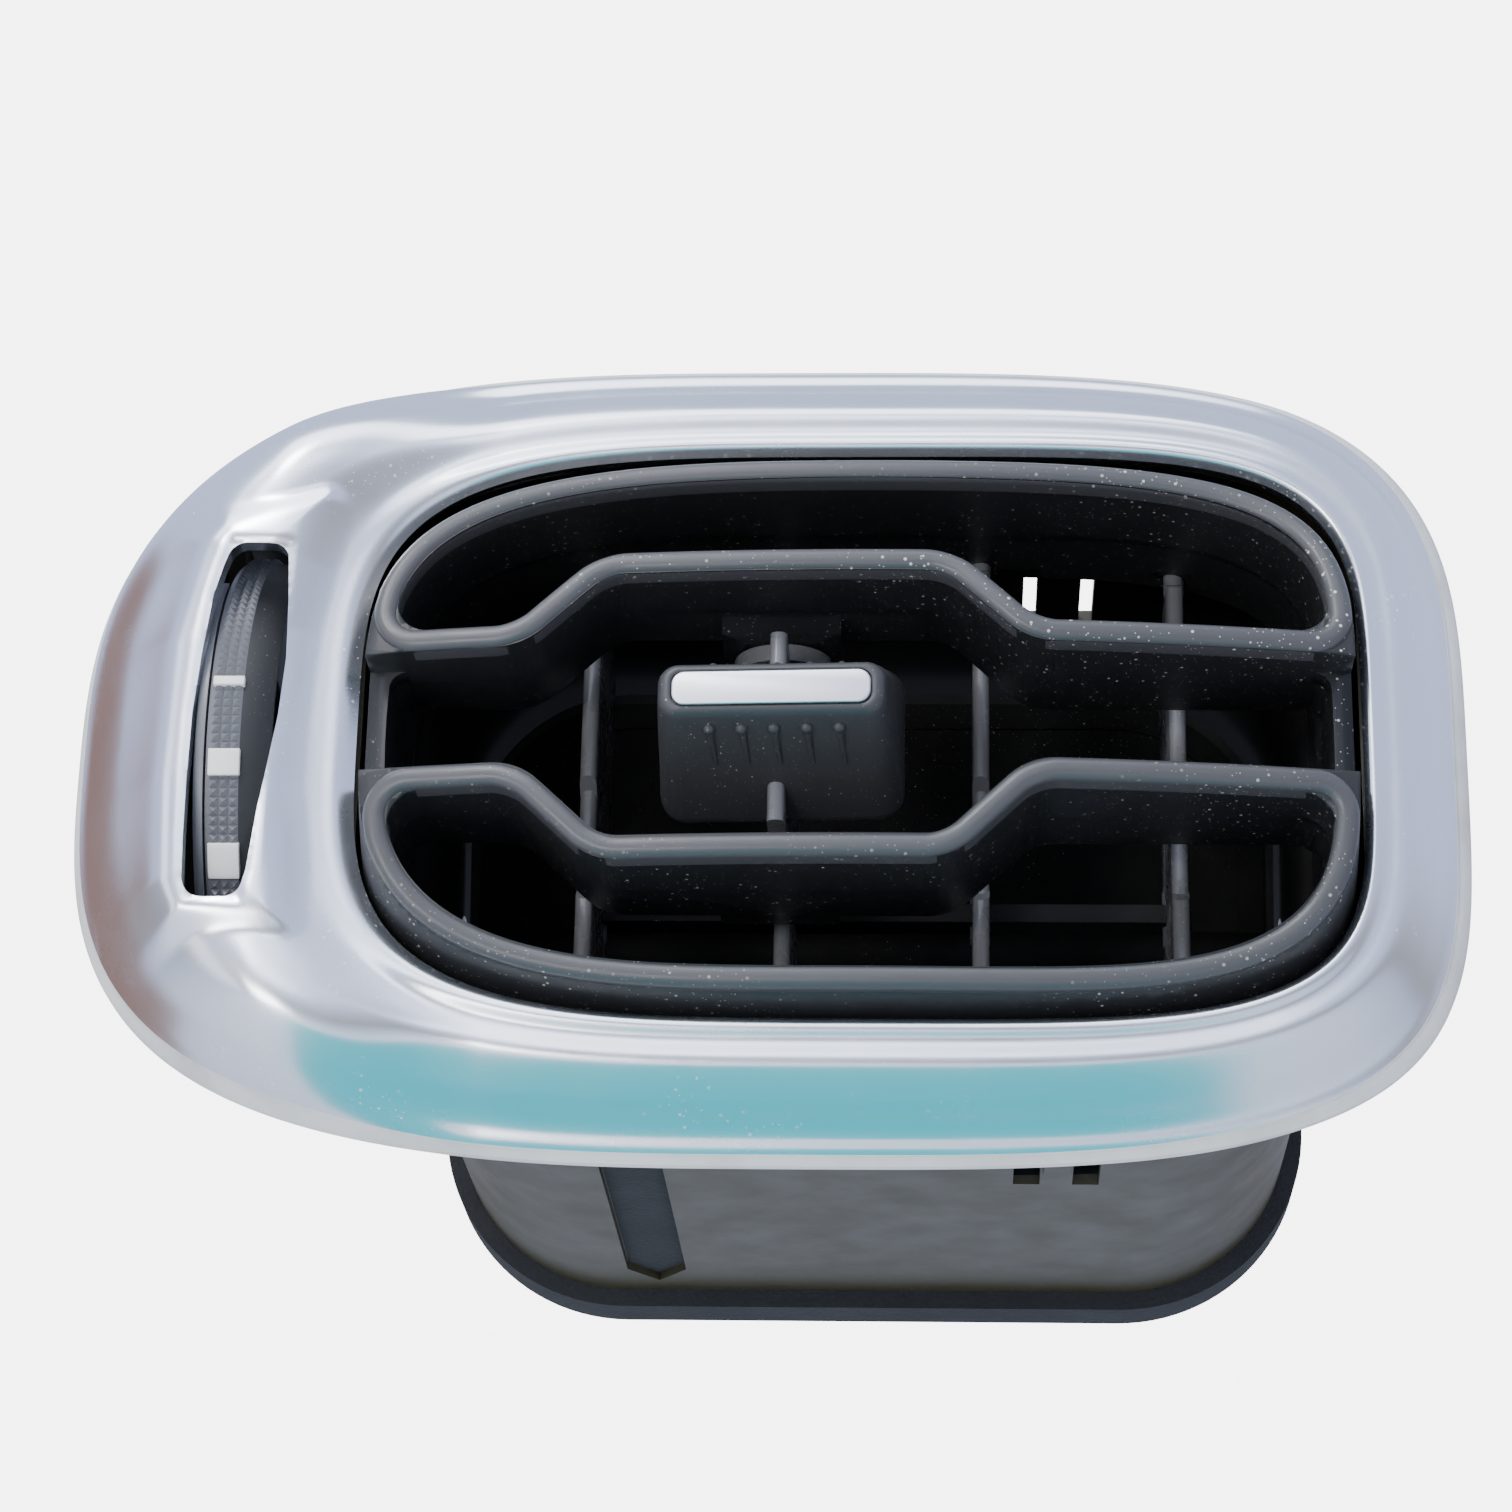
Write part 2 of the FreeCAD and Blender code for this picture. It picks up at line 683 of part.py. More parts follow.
def flange_plate():
    points = []
    for index in range(outline_points):
        angle = 2 * math.pi * (index + 0.5) / outline_points
        x, z = outer_point(angle)
        scale_x = 1 - flange_inset / bezel_right_reach
        scale_z = 1 - flange_inset / bezel_half_height
        points.append(V(bezel_mid_x + (x - bezel_mid_x) * scale_x, -flange_thickness, z * scale_z))
    plate = pushed(closed_curve(points), flange_thickness)
    hole = pushed(rounded_rectangle(mouth_half_width - wall, mouth_half_height - wall, mouth_corner - wall, -50), 60)
    return plate.cut(hole)


def make_housing():
    housing = box_shell(mouth_half_width, mouth_half_height, mouth_corner, mouth_front_y, mouth_back_y)
    step = pushed(rounded_rectangle(mouth_half_width, mouth_half_height, mouth_corner, mouth_back_y - wall), wall)
    step = step.cut(pushed(rounded_rectangle(duct_half_width - wall, duct_half_height - wall,
                                             duct_corner - wall, mouth_back_y - wall), wall))
    housing = housing.fuse(step)
    housing = housing.fuse(box_shell(duct_half_width, duct_half_height, duct_corner,
                                     mouth_back_y - wall, duct_back_y))
    housing = housing.fuse(flange_plate())
    # Window in the flange for the thumbwheel
    left = wheel_x - wheel_width / 2 - bracket_gap - bracket_plate - 1.2
    housing = housing.cut(block(left, -mouth_half_width, -10, 10, -wheel_window_top, wheel_window_top))
    # Snap tongues between pairs of slots, above and below
    for side in (1, -1):
        z0 = min(side * (duct_half_height - wall - 1), side * (duct_half_height + 1))
        for x in clip_slot_xs + (left_slot_xs if side < 0 else ()):
            back = clip_slot_back_y if x > 0 else clip_slot_back_y - 8
            housing = housing.cut(block(x, x + clip_slot_width * (1 if x > 0 else 0.55),
                                        clip_slot_front_y - 6, back, z0, z0 + wall + 2))
        x0 = clip_slot_xs[0] + clip_slot_width + 0.4
        x1 = clip_slot_xs[1] - 0.4
        root = duct_half_height - 0.4
        ramp = [V(x0, clip_slot_front_y - 4, side * root), V(x0, clip_slot_back_y - 2, side * root),
                V(x0, clip_slot_front_y - 4, side * (duct_half_height + clip_hook_height))]
        wedge = Part.Face(Part.makePolygon(ramp + [ramp[0]])).extrude(V(x1 - x0, 0, 0))
        housing = housing.fuse(wedge)
    # Groove with a pointed end along the underside
    mid = (channel_left_x + channel_right_x) / 2
    outline = [V(channel_left_x, mouth_back_y, 0), V(channel_left_x, channel_end_y, 0),
               V(mid, channel_tip_y, 0), V(channel_right_x, channel_end_y, 0),
               V(channel_right_x, mouth_back_y, 0)]
    groove = Part.Face(Part.makePolygon(outline + [outline[0]])).extrude(V(0, 0, channel_depth + 2))
    groove.translate(V(0, 0, -duct_half_height - 2))
    housing = housing.cut(groove)
    # Seats of the grille's pivots and the damper's shaft
    for side in (1, -1):
        housing = housing.cut(cylinder(grille_bush_radius + running_gap, 10,
                                       V(side * (mouth_half_width - 6), tilt_y, 0), X_AXIS * side))
        housing = housing.cut(cylinder(bush_radius + running_gap, 10, V(side * (duct_half_width - 6), damper_y, 0),
                                       X_AXIS * side))
    # Bearing of the thumbwheel's axle on the mouth's side
    bearing = tube(axle_radius + bearing_wall, axle_radius + running_gap, 3.0 + 0.6,
                   V(-mouth_half_width - 3.0, wheel_y, 0), X_AXIS)
    housing = housing.fuse(bearing)
    for x, z in boss_places:
        housing = housing.cut(cylinder(screw_radius + 0.3, 10, V(x, -5, z), Y_AXIS))
        housing = housing.cut(cylinder(screw_head_radius + 0.4, 10, V(x, -screw_head_height, z), Y_AXIS))
    return one(housing)


def make_bush(side, x_outer, x_inner, y, radius, bore, collar):
    """A bush set in a side wall, with a collar outside it or none."""
    body = tube(radius, bore, x_outer + bush_flange - x_inner, V(side * x_inner, y, 0), X_AXIS * side)
    if collar:
        body = body.fuse(tube(radius + collar, bore, bush_flange, V(side * x_outer, y, 0), X_AXIS * side))
    return one(body)


def make_mouth_seal():
    outer = pushed(rounded_rectangle(duct_half_width + seal_thickness, duct_half_height + seal_thickness,
                                     duct_corner + seal_thickness, seal_front_y), seal_width)
    return one(outer.cut(pushed(rounded_rectangle(duct_half_width, duct_half_height, duct_corner,
                                                  seal_front_y), seal_width)))


def make_screws():
    screws = []
    for x, z in boss_places:
        shank = cylinder(screw_radius - running_gap, screw_depth + flange_thickness - screw_head_height,
                         V(x, -flange_thickness - screw_depth, z), Y_AXIS)
        head = cylinder(screw_head_radius, screw_head_height, V(x, -screw_head_height, z), Y_AXIS)
        screws.append(shank.fuse(head).removeSplitter().Solids[0])
    return Part.makeCompound(screws)


# Thumbwheel

def make_thumbwheel():
    x0 = wheel_x - wheel_width / 2
    base = V(x0, wheel_y, 0)
    inner = wheel_radius - wheel_tread
    rim = tube(inner, inner - wheel_rim, wheel_width, base, X_AXIS)
    hub = tube(wheel_hub_radius, axle_radius + running_gap, wheel_width, base, X_AXIS)
    web = tube(inner - 0.5, wheel_hub_radius - 0.5, wheel_web, V(wheel_x - wheel_web / 2, wheel_y, 0), X_AXIS)
    wheel = rim.fuse(hub).fuse(web)
    for index in range(6):
        angle = math.radians(60 * index + 21)
        centre = V(wheel_x - 5, wheel_y + 14.2 * math.cos(angle), 14.2 * math.sin(angle))
        if index != 0:
            wheel = wheel.cut(cylinder(4.2, 10, centre, X_AXIS))
    pin_at = crank_place(wheel_y)
    pin = cylinder(pin_radius, rod_x + rod_thickness - wheel_x, V(wheel_x, pin_at[0], pin_at[1]), X_AXIS)
    boss = cylinder(3.0, wheel_width / 2, V(wheel_x, pin_at[0], pin_at[1]), X_AXIS)
    return one(wheel.fuse(boss).fuse(pin))


def crank_place(y):
    angle = math.radians(crank_rest_angle)
    return (y + crank_arm * math.cos(angle), crank_arm * math.sin(angle))


def toothed_band(x0, x1):
    points = []
    for index in range(wheel_teeth * 2):
        angle = math.pi * index / wheel_teeth
        radius = wheel_radius - (wheel_tooth_depth if index % 2 else 0)
        points.append(V(x0, wheel_y + radius * math.cos(angle), radius * math.sin(angle)))
    return Part.Face(Part.makePolygon(points + [points[0]])).extrude(V(x1 - x0, 0, 0))


def mark_block(span, width, radius0, radius1):
    low, high = [math.radians(180 - angle) for angle in span]
    points = []
    steps = 4
    for step in range(steps + 1):
        angle = low + (high - low) * step / steps
        points.append((radius1, angle))
    for step in range(steps, -1, -1):
        angle = low + (high - low) * step / steps
        points.append((radius0, angle))
    middle = wheel_x - 0.2
    loop = [V(middle - width / 2, wheel_y + r * math.cos(a), r * math.sin(a)) for r, a in points]
    return Part.Face(Part.makePolygon(loop + [loop[0]])).extrude(V(width, 0, 0))


def make_wheel_grip():
    x0 = wheel_x - wheel_width / 2
    inner = wheel_radius - wheel_tread
    plain = cylinder(wheel_radius - wheel_tooth_depth, wheel_width, V(x0, wheel_y, 0), X_AXIS)
    grip = plain
    pitch = 1.4
    for index in range(3):
        start = x0 + 1.2 + index * pitch
        grip = grip.fuse(toothed_band(start, start + pitch - 0.35))
    grip = grip.cut(cylinder(inner, wheel_width, V(x0, wheel_y, 0), X_AXIS))
    for span in mark_angles:
        grip = grip.cut(mark_block(span, mark_width, wheel_radius - 1.4, wheel_radius + 2))
    return one(grip)


def make_wheel_marks():
    marks = [mark_block(span, mark_width, wheel_radius - 1.4, wheel_radius + mark_proud)
             for span in mark_angles]
    return Part.makeCompound(marks)


def make_axle():
    left = wheel_x - wheel_width / 2 - bracket_gap - bracket_plate
    right = -mouth_half_width
    pin = cylinder(axle_radius, right - left, V(left, wheel_y, 0), X_AXIS)
    head = cylinder(axle_radius + 1.5, 1.2, V(left - 1.2, wheel_y, 0), X_AXIS)
    return one(pin.fuse(head))


def make_bracket():
    right = wheel_x - wheel_width / 2 - bracket_gap
    left = right - bracket_plate
    reach = wheel_window_top + 3.0
    web = block(left, right, -flange_thickness - 2, wheel_y + 8, -wheel_window_top + 1.0, wheel_window_top - 1.0)
    web = web.fuse(block(left, right, -flange_thickness - 2, -flange_thickness, -reach, reach))
    for side in (1, -1):
        low = min(side * (wheel_window_top - 1), side * reach)
        foot = block(left - 1.5, right, -flange_thickness - 2, -flange_thickness, low,
                     low + reach - wheel_window_top + 1)
        web = web.fuse(foot)
        slope = [V(left, wheel_y + 8.5, side * 9), V(left, wheel_y + 8.5, side * 40), V(left, 0.5, side * 40),
                 V(left, 0.5, side * 28)]
        corner = Part.Face(Part.makePolygon(slope + [slope[0]])).extrude(V(bracket_plate, 0, 0))
        web = web.cut(corner)
    web = web.fuse(cylinder(axle_radius + 2.4, bracket_gap - 0.4, V(right, wheel_y, 0), X_AXIS))
    web = web.cut(cylinder(axle_radius + running_gap, 20, V(left - 5, wheel_y, 0), X_AXIS))
    return one(web)


# Rod, crank and damper

def make_rod():
    y0, z = crank_place(wheel_y)
    y1, _ = crank_place(damper_y)
    rod = block(rod_x, rod_x + rod_thickness, y0, y1, z - rod_half_width, z + rod_half_width)
    for y in (y0, y1):
        rod = rod.fuse(cylinder(rod_eye_radius, rod_thickness, V(rod_x, y, z), X_AXIS))
    for y in (y0, y1):
        rod = rod.cut(cylinder(pin_radius + pin_gap, rod_thickness, V(rod_x, y, z), X_AXIS))
    return one(rod)


def make_crank():
    y, z = crank_place(damper_y)
    direction = V(0, y - damper_y, z)
    arm = block(crank_x, crank_x + crank_thickness, 0, crank_arm, -2.6, 2.6)
    arm.rotate(V(0, 0, 0), X_AXIS, crank_rest_angle)
    arm.translate(V(0, damper_y, 0))
    arm = arm.fuse(cylinder(2.6, crank_thickness, V(crank_x, y, z), X_AXIS))
    arm = arm.fuse(cylinder(5.4, crank_thickness, V(crank_x, damper_y, 0), X_AXIS))
    arm = arm.fuse(cylinder(pin_radius, crank_x - rod_x + 0.5, V(rod_x, y, z), X_AXIS))
    arm = arm.cut(cylinder(damper_shaft_radius - 0.8, crank_thickness, V(crank_x, damper_y, 0), X_AXIS))
    return one(arm)


def flap_outline(grow):
    return rounded_rectangle(damper_half_width + grow, damper_half_length + grow, damper_corner + grow, 0)


def make_damper():
    flap = pushed(flap_outline(0), damper_thickness)
    flap.translate(V(0, -damper_thickness / 2, 0))
    flap = flap.cut(pushed(flap_outline(-3.5), 0.7).translated(V(0, -damper_thickness / 2 - 0.001, 0)))
    flap.rotate(V(0, 0, 0), X_AXIS, 90 + damper_rest_angle)
    shaft = cylinder(damper_shaft_radius + 0.6, 2 * damper_half_width, V(-damper_half_width, 0, 0), X_AXIS)
    flap = flap.fuse(shaft)
    for side in (1, -1):
        end = duct_half_width + bush_flange + 1.4 if side > 0 else -crank_x - crank_thickness
        flap = flap.fuse(cylinder(damper_shaft_radius, end - damper_half_width + 1,
                                  V(side * (damper_half_width - 1), 0, 0), X_AXIS * side))
    tip = cylinder(damper_shaft_radius - 0.8, crank_thickness,
                   V(crank_x, 0, 0), X_AXIS)
    flap = flap.fuse(tip)
    flap.translate(V(0, damper_y, 0))
    return one(flap)


def make_damper_seal():
    lip = pushed(flap_outline(seal_lip), seal_lip_thickness)
    lip = lip.cut(pushed(flap_outline(0), seal_lip_thickness))
    lip.translate(V(0, -seal_lip_thickness / 2, 0))
    lip.rotate(V(0, 0, 0), X_AXIS, 90 + damper_rest_angle)
    lip = lip.cut(cylinder(damper_shaft_radius + 0.1, 200, V(-100, 0, 0), X_AXIS))
    lip.translate(V(0, damper_y, 0))
    return Part.makeCompound(lip.Solids)


def make_parts():
    parts = {
        "bezel": make_bezel(),
        "housing": make_housing(),
        "bezel_screws": make_screws(),
        "mouth_seal": make_mouth_seal(),
        "grille": make_grille(),
        "knob_body": make_knob_body(),
        "knob_strip": make_knob_strip(),
        "upright_vane_2": make_master_vane(),
        "vane_link": make_vane_link(),
        "thumbwheel": make_thumbwheel(),
        "wheel_grip": make_wheel_grip(),
        "wheel_marks": make_wheel_marks(),
        "wheel_axle": make_axle(),
        "wheel_bracket": make_bracket(),
        "damper_rod": make_rod(),
        "damper_crank": make_crank(),
        "damper_flap": make_damper(),
        "damper_seal": make_damper_seal(),
    }
    for name, index in (("upright_vane_1", -1), ("upright_vane_3", 1), ("upright_vane_4", 2)):
        parts[name] = make_upright(index)
    for name, side in (("left", -1), ("right", 1)):
        parts["grille_bush_" + name] = make_bush(side, mouth_half_width, mouth_half_width - wall, tilt_y,
                                                 grille_bush_radius, pivot_radius + running_gap, 0)
        parts["damper_bush_" + name] = make_bush(side, duct_half_width, duct_half_width - wall, damper_y,
                                                 bush_radius, damper_shaft_radius + running_gap, 1.6)
    return parts


os.makedirs("parts", exist_ok=True)
for name, shape in make_parts().items():
    shape.exportStep("parts/" + name + ".step")
    box = shape.BoundBox
    print("%-18s solids %d valid %s volume %9.1f  x %.1f %.1f  y %.1f %.1f  z %.1f %.1f" % (
        name, len(shape.Solids), shape.isValid(), shape.Volume,
        box.XMin, box.XMax, box.YMin, box.YMax, box.ZMin, box.ZMax))
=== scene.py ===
# %% [markdown]
# # A dashboard air vent, dressed for its picture
# The vent was drawn first as solids: a swept bezel, a barrel grille that tilts in it, a knob, a
# thumbwheel and a duct with a damper. This lesson gives those solids the finishes of the real
# one. Where a surface needs softer edges or a finer curve than the solids carry, a new piece is
# modelled and takes the solid's place.

# %% Load the solids
import bpy
import bmesh
import math
from mathutils import Matrix, Vector


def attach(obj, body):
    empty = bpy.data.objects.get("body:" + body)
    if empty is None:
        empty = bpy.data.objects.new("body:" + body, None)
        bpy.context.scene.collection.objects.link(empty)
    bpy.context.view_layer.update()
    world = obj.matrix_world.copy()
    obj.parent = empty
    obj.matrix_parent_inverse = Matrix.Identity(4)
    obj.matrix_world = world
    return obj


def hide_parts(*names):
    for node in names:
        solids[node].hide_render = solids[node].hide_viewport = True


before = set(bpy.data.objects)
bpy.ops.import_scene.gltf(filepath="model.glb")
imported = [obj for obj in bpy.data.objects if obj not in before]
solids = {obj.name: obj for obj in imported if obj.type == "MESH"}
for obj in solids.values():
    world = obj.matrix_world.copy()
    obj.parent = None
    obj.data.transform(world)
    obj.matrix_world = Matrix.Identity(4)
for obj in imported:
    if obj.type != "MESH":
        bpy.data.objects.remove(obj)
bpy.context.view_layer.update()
MM = 0.001

# %% [markdown]
# ## The camera
# The photograph was taken from in front and well below, so the underside of the duct shows.
# Azimuth, elevation, distance and roll describe that place better than bare coordinates, and a
# long lens keeps the bezel from bulging. The roll is small but it tilts the bezel's lower edge by
# several pixels.

# %% Stand the camera in front and below
azimuth, elevation, roll = math.radians(3.0), math.radians(22.0), math.radians(1.2)
aim = Vector((-12.048, -20.0, -4.027)) * MM
distance = 483.6 * MM
back = Vector((math.sin(azimuth) * math.cos(elevation), -math.cos(azimuth) * math.cos(elevation),
               -math.sin(elevation)))
across = (-back).cross(Vector((0, 0, 1))).normalized()
above = across.cross(-back)
right = math.cos(roll) * across + math.sin(roll) * above
up = -math.sin(roll) * across + math.cos(roll) * above
lens = bpy.data.cameras.new("camera")
lens.lens = 96.19
lens.sensor_width = 36.0
lens.clip_start = 0.01
camera = bpy.data.objects.new("camera", lens)
camera.matrix_world = Matrix.Translation(aim + back * distance) @ Matrix(
    (right, up, back)).transposed().to_4x4()
bpy.context.scene.collection.objects.link(camera)
bpy.context.scene.camera = camera
print("camera at", [round(v, 3) for v in camera.location])

# %% [markdown]
# ## Floor and light
# Satin chrome shows what stands around it more than its own colour, so the light matters as much
# as the material. A pale floor lies well below. A broad panel hangs above like a sky, a small one
# beside it gives the sharper glints of a sun, and three low ones at the front, at the left and
# below the vent draw the soft streaks along the bezel. Around them the room is shaded by height,
# with a darker band at the horizon, and the camera sees a plain white backdrop in its place.

# %% Pieces from a bmesh, and the floor
def stand(name, bm):
    """Makes an object of a bmesh and links it to the scene."""
    mesh = bpy.data.meshes.new(name)
    bm.to_mesh(mesh)
    bm.free()
    piece = bpy.data.objects.new(name, mesh)
    bpy.context.scene.collection.objects.link(piece)
    return piece


floor_z, floor_reach = -0.26, 2.5
bm = bmesh.new()
bmesh.ops.create_grid(bm, x_segments=2, y_segments=2, size=floor_reach)
bmesh.ops.translate(bm, verts=bm.verts, vec=(0, 0, floor_z))
floor = stand("floor", bm)
paper = bpy.data.materials.new("pale_paper")
paper.use_nodes = True
paper_shader = paper.node_tree.nodes["Principled BSDF"]
paper_shader.inputs["Base Color"].default_value = (0.80, 0.80, 0.79, 1)
paper_shader.inputs["Roughness"].default_value = 0.9
floor.data.materials.append(paper)
print("floor laid at z =", floor_z, "m")


# %% Soft panels
def panel(name, place, aim_at, width, height, watts, tint):
    """A soft rectangular light that faces a point."""
    light = bpy.data.lights.new(name, "AREA")
    light.shape = "RECTANGLE"
    light.size, light.size_y = width, height
    light.energy, light.color = watts, tint
    lamp = bpy.data.objects.new(name, light)
    lamp.location = place
    facing = Vector(aim_at) - Vector(place)
    lamp.rotation_euler = facing.to_track_quat("-Z", "Y").to_euler()
    bpy.context.scene.collection.objects.link(lamp)


panel("sky_panel", (-0.20, -0.45, 0.70), (0, 0, 0), 0.8, 0.5, 4.2, (0.95, 0.97, 1.0))
panel("sun_panel", (-0.28, -0.60, 0.46), (0, 0, 0), 0.16, 0.16, 2.4, (1.0, 0.98, 0.95))
panel("front_panel", (-0.10, -0.78, 0.34), (-0.02, 0, 0), 0.40, 0.16, 0.62, (0.90, 0.94, 1.0))
panel("left_panel", (-0.70, -0.45, 0.12), (-0.05, 0, 0), 0.25, 0.6, 0.7, (0.93, 0.96, 1.0))
panel("fill_panel", (-0.34, -0.80, -0.10), (0, 0, -0.01), 0.34, 0.20, 2.4, (1.0, 0.99, 0.97))
print("five panels hung")

# %% Room shaded from floor to sky
room_strength, backdrop_strength = 1.5, 6.0
nadir_tone, zenith_tone = (0.40, 0.39, 0.38), (0.52, 0.60, 0.80)
tones_between = ((0.30, (0.40, 0.40, 0.42)), (0.44, (0.20, 0.175, 0.17)),
                 (0.54, (0.34, 0.35, 0.40)), (0.66, (0.54, 0.60, 0.84)))
world = bpy.data.worlds.new("studio")
world.use_nodes = True
bpy.context.scene.world = world
sky = world.node_tree
room = sky.nodes["Background"]
room.inputs["Strength"].default_value = room_strength
ramp = sky.nodes.new("ShaderNodeValToRGB")
height = sky.nodes.new("ShaderNodeSeparateXYZ")
toward = sky.nodes.new("ShaderNodeTexCoord")
lifted = sky.nodes.new("ShaderNodeMapRange")
lifted.inputs["From Min"].default_value = -1.0
sky.links.new(toward.outputs["Generated"], height.inputs["Vector"])
sky.links.new(height.outputs["Z"], lifted.inputs["Value"])
sky.links.new(lifted.outputs["Result"], ramp.inputs["Fac"])
sky.links.new(ramp.outputs["Color"], room.inputs["Color"])
bands = ramp.color_ramp
bands.elements[0].position, bands.elements[0].color = 0.0, (*nadir_tone, 1)
bands.elements[1].position, bands.elements[1].color = 1.0, (*zenith_tone, 1)
for spot, tone in tones_between:
    band = bands.elements.new(spot)
    band.color = (*tone, 1)
backdrop = sky.nodes.new("ShaderNodeBackground")
backdrop.inputs["Color"].default_value = (1.0, 1.0, 1.0, 1)
backdrop.inputs["Strength"].default_value = backdrop_strength
rays = sky.nodes.new("ShaderNodeLightPath")
either = sky.nodes.new("ShaderNodeMixShader")
sky.links.new(rays.outputs["Is Camera Ray"], either.inputs["Fac"])
sky.links.new(room.outputs["Background"], either.inputs[1])
sky.links.new(backdrop.outputs["Background"], either.inputs[2])
sky.links.new(either.outputs["Shader"], sky.nodes["World Output"].inputs["Surface"])
print("room shaded in", len(bands.elements), "tones")

# %% [markdown]
# ## Two coloured cards
# The real bezel mirrors turquoise from below and brown from its left. A lamp would only add its
# colour to the pale floor behind it, so each is a glowing card that covers what lies behind. Only
# reflections see the cards: they light nothing and the camera looks through them.

# %% Cards that only the chrome sees
def card(name, place, aim_at, width, depth, color):
    """A glowing sheet that faces a point and shows only in reflections."""
    bm = bmesh.new()
    bmesh.ops.create_grid(bm, x_segments=1, y_segments=1, size=0.5)
    bmesh.ops.scale(bm, verts=bm.verts, vec=(width, depth, 1))
    facing = (Vector(aim_at) - Vector(place)).to_track_quat("Z", "Y").to_matrix().to_4x4()
    bmesh.ops.transform(bm, matrix=Matrix.Translation(place) @ facing, verts=bm.verts)
    sheet = stand(name, bm)
    glow = bpy.data.materials.new(name + "_glow")
    glow.use_nodes = True
    shader = glow.node_tree.nodes["Principled BSDF"]
    shader.inputs["Base Color"].default_value = (0, 0, 0, 1)
    shader.inputs["Emission Color"].default_value = (*color, 1)
    shader.inputs["Emission Strength"].default_value = 1.0
    sheet.data.materials.append(glow)
    sheet.visible_camera = False
    sheet.visible_diffuse = False
    sheet.visible_transmission = False
    sheet.visible_volume_scatter = False
    sheet.visible_shadow = False


# The first card aims a hair off the vertical, which turns its depth along the duct.
card("teal_card", (-0.018, -0.20, -0.235), (-0.018, -0.2001, 0), 0.26, 0.48, (0.0, 0.70, 0.82))
card("brown_card", (-0.50, 0.22, 0.05), (-0.09, 0, 0), 0.30, 0.60, (0.30, 0.16, 0.12))
print("two cards placed")

# %% [markdown]
# ## Finishes
# Every finish starts from one shader and gets its life from noise: grain in the height, patches
# in the roughness, and dust. Dust is a Voronoi pattern cut off near its cell centres, so only
# small flecks are left, and a slower noise decides where they gather. All patterns read Object
# coordinates, so they stay on the piece.


# %% Helpers for the finishes
def finish(name, color, roughness, metallic=0.0):
    """A new material with its shader set; returns the material, its node tree and the shader."""
    made = bpy.data.materials.new(name)
    made.use_nodes = True
    shader = made.node_tree.nodes["Principled BSDF"]
    shader.inputs["Base Color"].default_value = (*color, 1)
    shader.inputs["Roughness"].default_value = roughness
    shader.inputs["Metallic"].default_value = metallic
    return made, made.node_tree, shader


def place_on(tree):
    return tree.nodes.new("ShaderNodeTexCoord").outputs["Object"]


def noise(tree, scale, detail=3.0, rough=0.55):
    """Noise over the piece: scale is in waves per metre."""
    node = tree.nodes.new("ShaderNodeTexNoise")
    node.inputs["Scale"].default_value = scale
    node.inputs["Detail"].default_value = detail
    node.inputs["Roughness"].default_value = rough
    tree.links.new(place_on(tree), node.inputs["Vector"])
    return node.outputs["Fac"]


def between(tree, value, low, high, out_low=0.0, out_high=1.0):
    """Maps a value from one range to another, clamped."""
    node = tree.nodes.new("ShaderNodeMapRange")
    ends = {"From Min": low, "From Max": high, "To Min": out_low, "To Max": out_high}
    for key, number in ends.items():
        node.inputs[key].default_value = number
    tree.links.new(value, node.inputs["Value"])
    return node.outputs["Result"]


def times(tree, first, second):
    node = tree.nodes.new("ShaderNodeMath")
    node.operation = "MULTIPLY"
    tree.links.new(first, node.inputs[0])
    tree.links.new(second, node.inputs[1])
    return node.outputs["Value"]


def flecks(tree, scale, size, gather=26.0, share=(0.5, 0.68)):
    """A mask of small dust flecks in two sizes, thick in some places and thin in others."""
    layers = []
    for finer in (1.0, 2.3):
        cells = tree.nodes.new("ShaderNodeTexVoronoi")
        cells.inputs["Scale"].default_value = scale * finer
        cells.inputs["Randomness"].default_value = 1.0
        tree.links.new(place_on(tree), cells.inputs["Vector"])
        layers.append(between(tree, cells.outputs["Distance"], size * 0.6, size, 1.0, 0.0))
    both = tree.nodes.new("ShaderNodeMath")
    both.operation = "MAXIMUM"
    tree.links.new(layers[0], both.inputs[0])
    tree.links.new(layers[1], both.inputs[1])
    return times(tree, both.outputs["Value"], between(tree, noise(tree, gather, 2.0), *share))


def tinted(tree, shader, base, other, mask):
    """The shader's colour goes from base to other where the mask is 1."""
    mix = tree.nodes.new("ShaderNodeMix")
    mix.data_type = "RGBA"
    mix.inputs[6].default_value = (*base, 1)
    mix.inputs[7].default_value = (*other, 1)
    tree.links.new(mask, mix.inputs[0])
    tree.links.new(mix.outputs[2], shader.inputs["Base Color"])


def grained(tree, shader, height, depth, strength=1.0):
    """Bump from a height pattern; depth is in metres."""
    bump = tree.nodes.new("ShaderNodeBump")
    bump.inputs["Strength"].default_value = strength
    bump.inputs["Distance"].default_value = depth
    tree.links.new(height, bump.inputs["Height"])
    tree.links.new(bump.outputs["Normal"], shader.inputs["Normal"])


def uneven_gloss(tree, shader, waves, detail, low, high):
    """The roughness drifts between two values in soft patches."""
    drift = between(tree, noise(tree, waves, detail), 0.3, 0.7, low, high)
    tree.links.new(drift, shader.inputs["Roughness"])


print("finish helpers ready")


# %% Satin chrome, the uncoated edge and the silver strip
def satin_chrome(name, color, roughness):
    made, tree, shader = finish(name, color, roughness, 1.0)
    dust = flecks(tree, 620, 0.16, 34, (0.52, 0.70))
    tinted(tree, shader, color, (0.93, 0.93, 0.92), dust)
    uneven_gloss(tree, shader, 60, 4.0, roughness - 0.035, roughness + 0.05)
    tree.links.new(between(tree, dust, 0.0, 1.0, 1.0, 0.0), shader.inputs["Metallic"])
    grained(tree, shader, noise(tree, 5200, 2.0), 0.000012, 0.35)
    return made


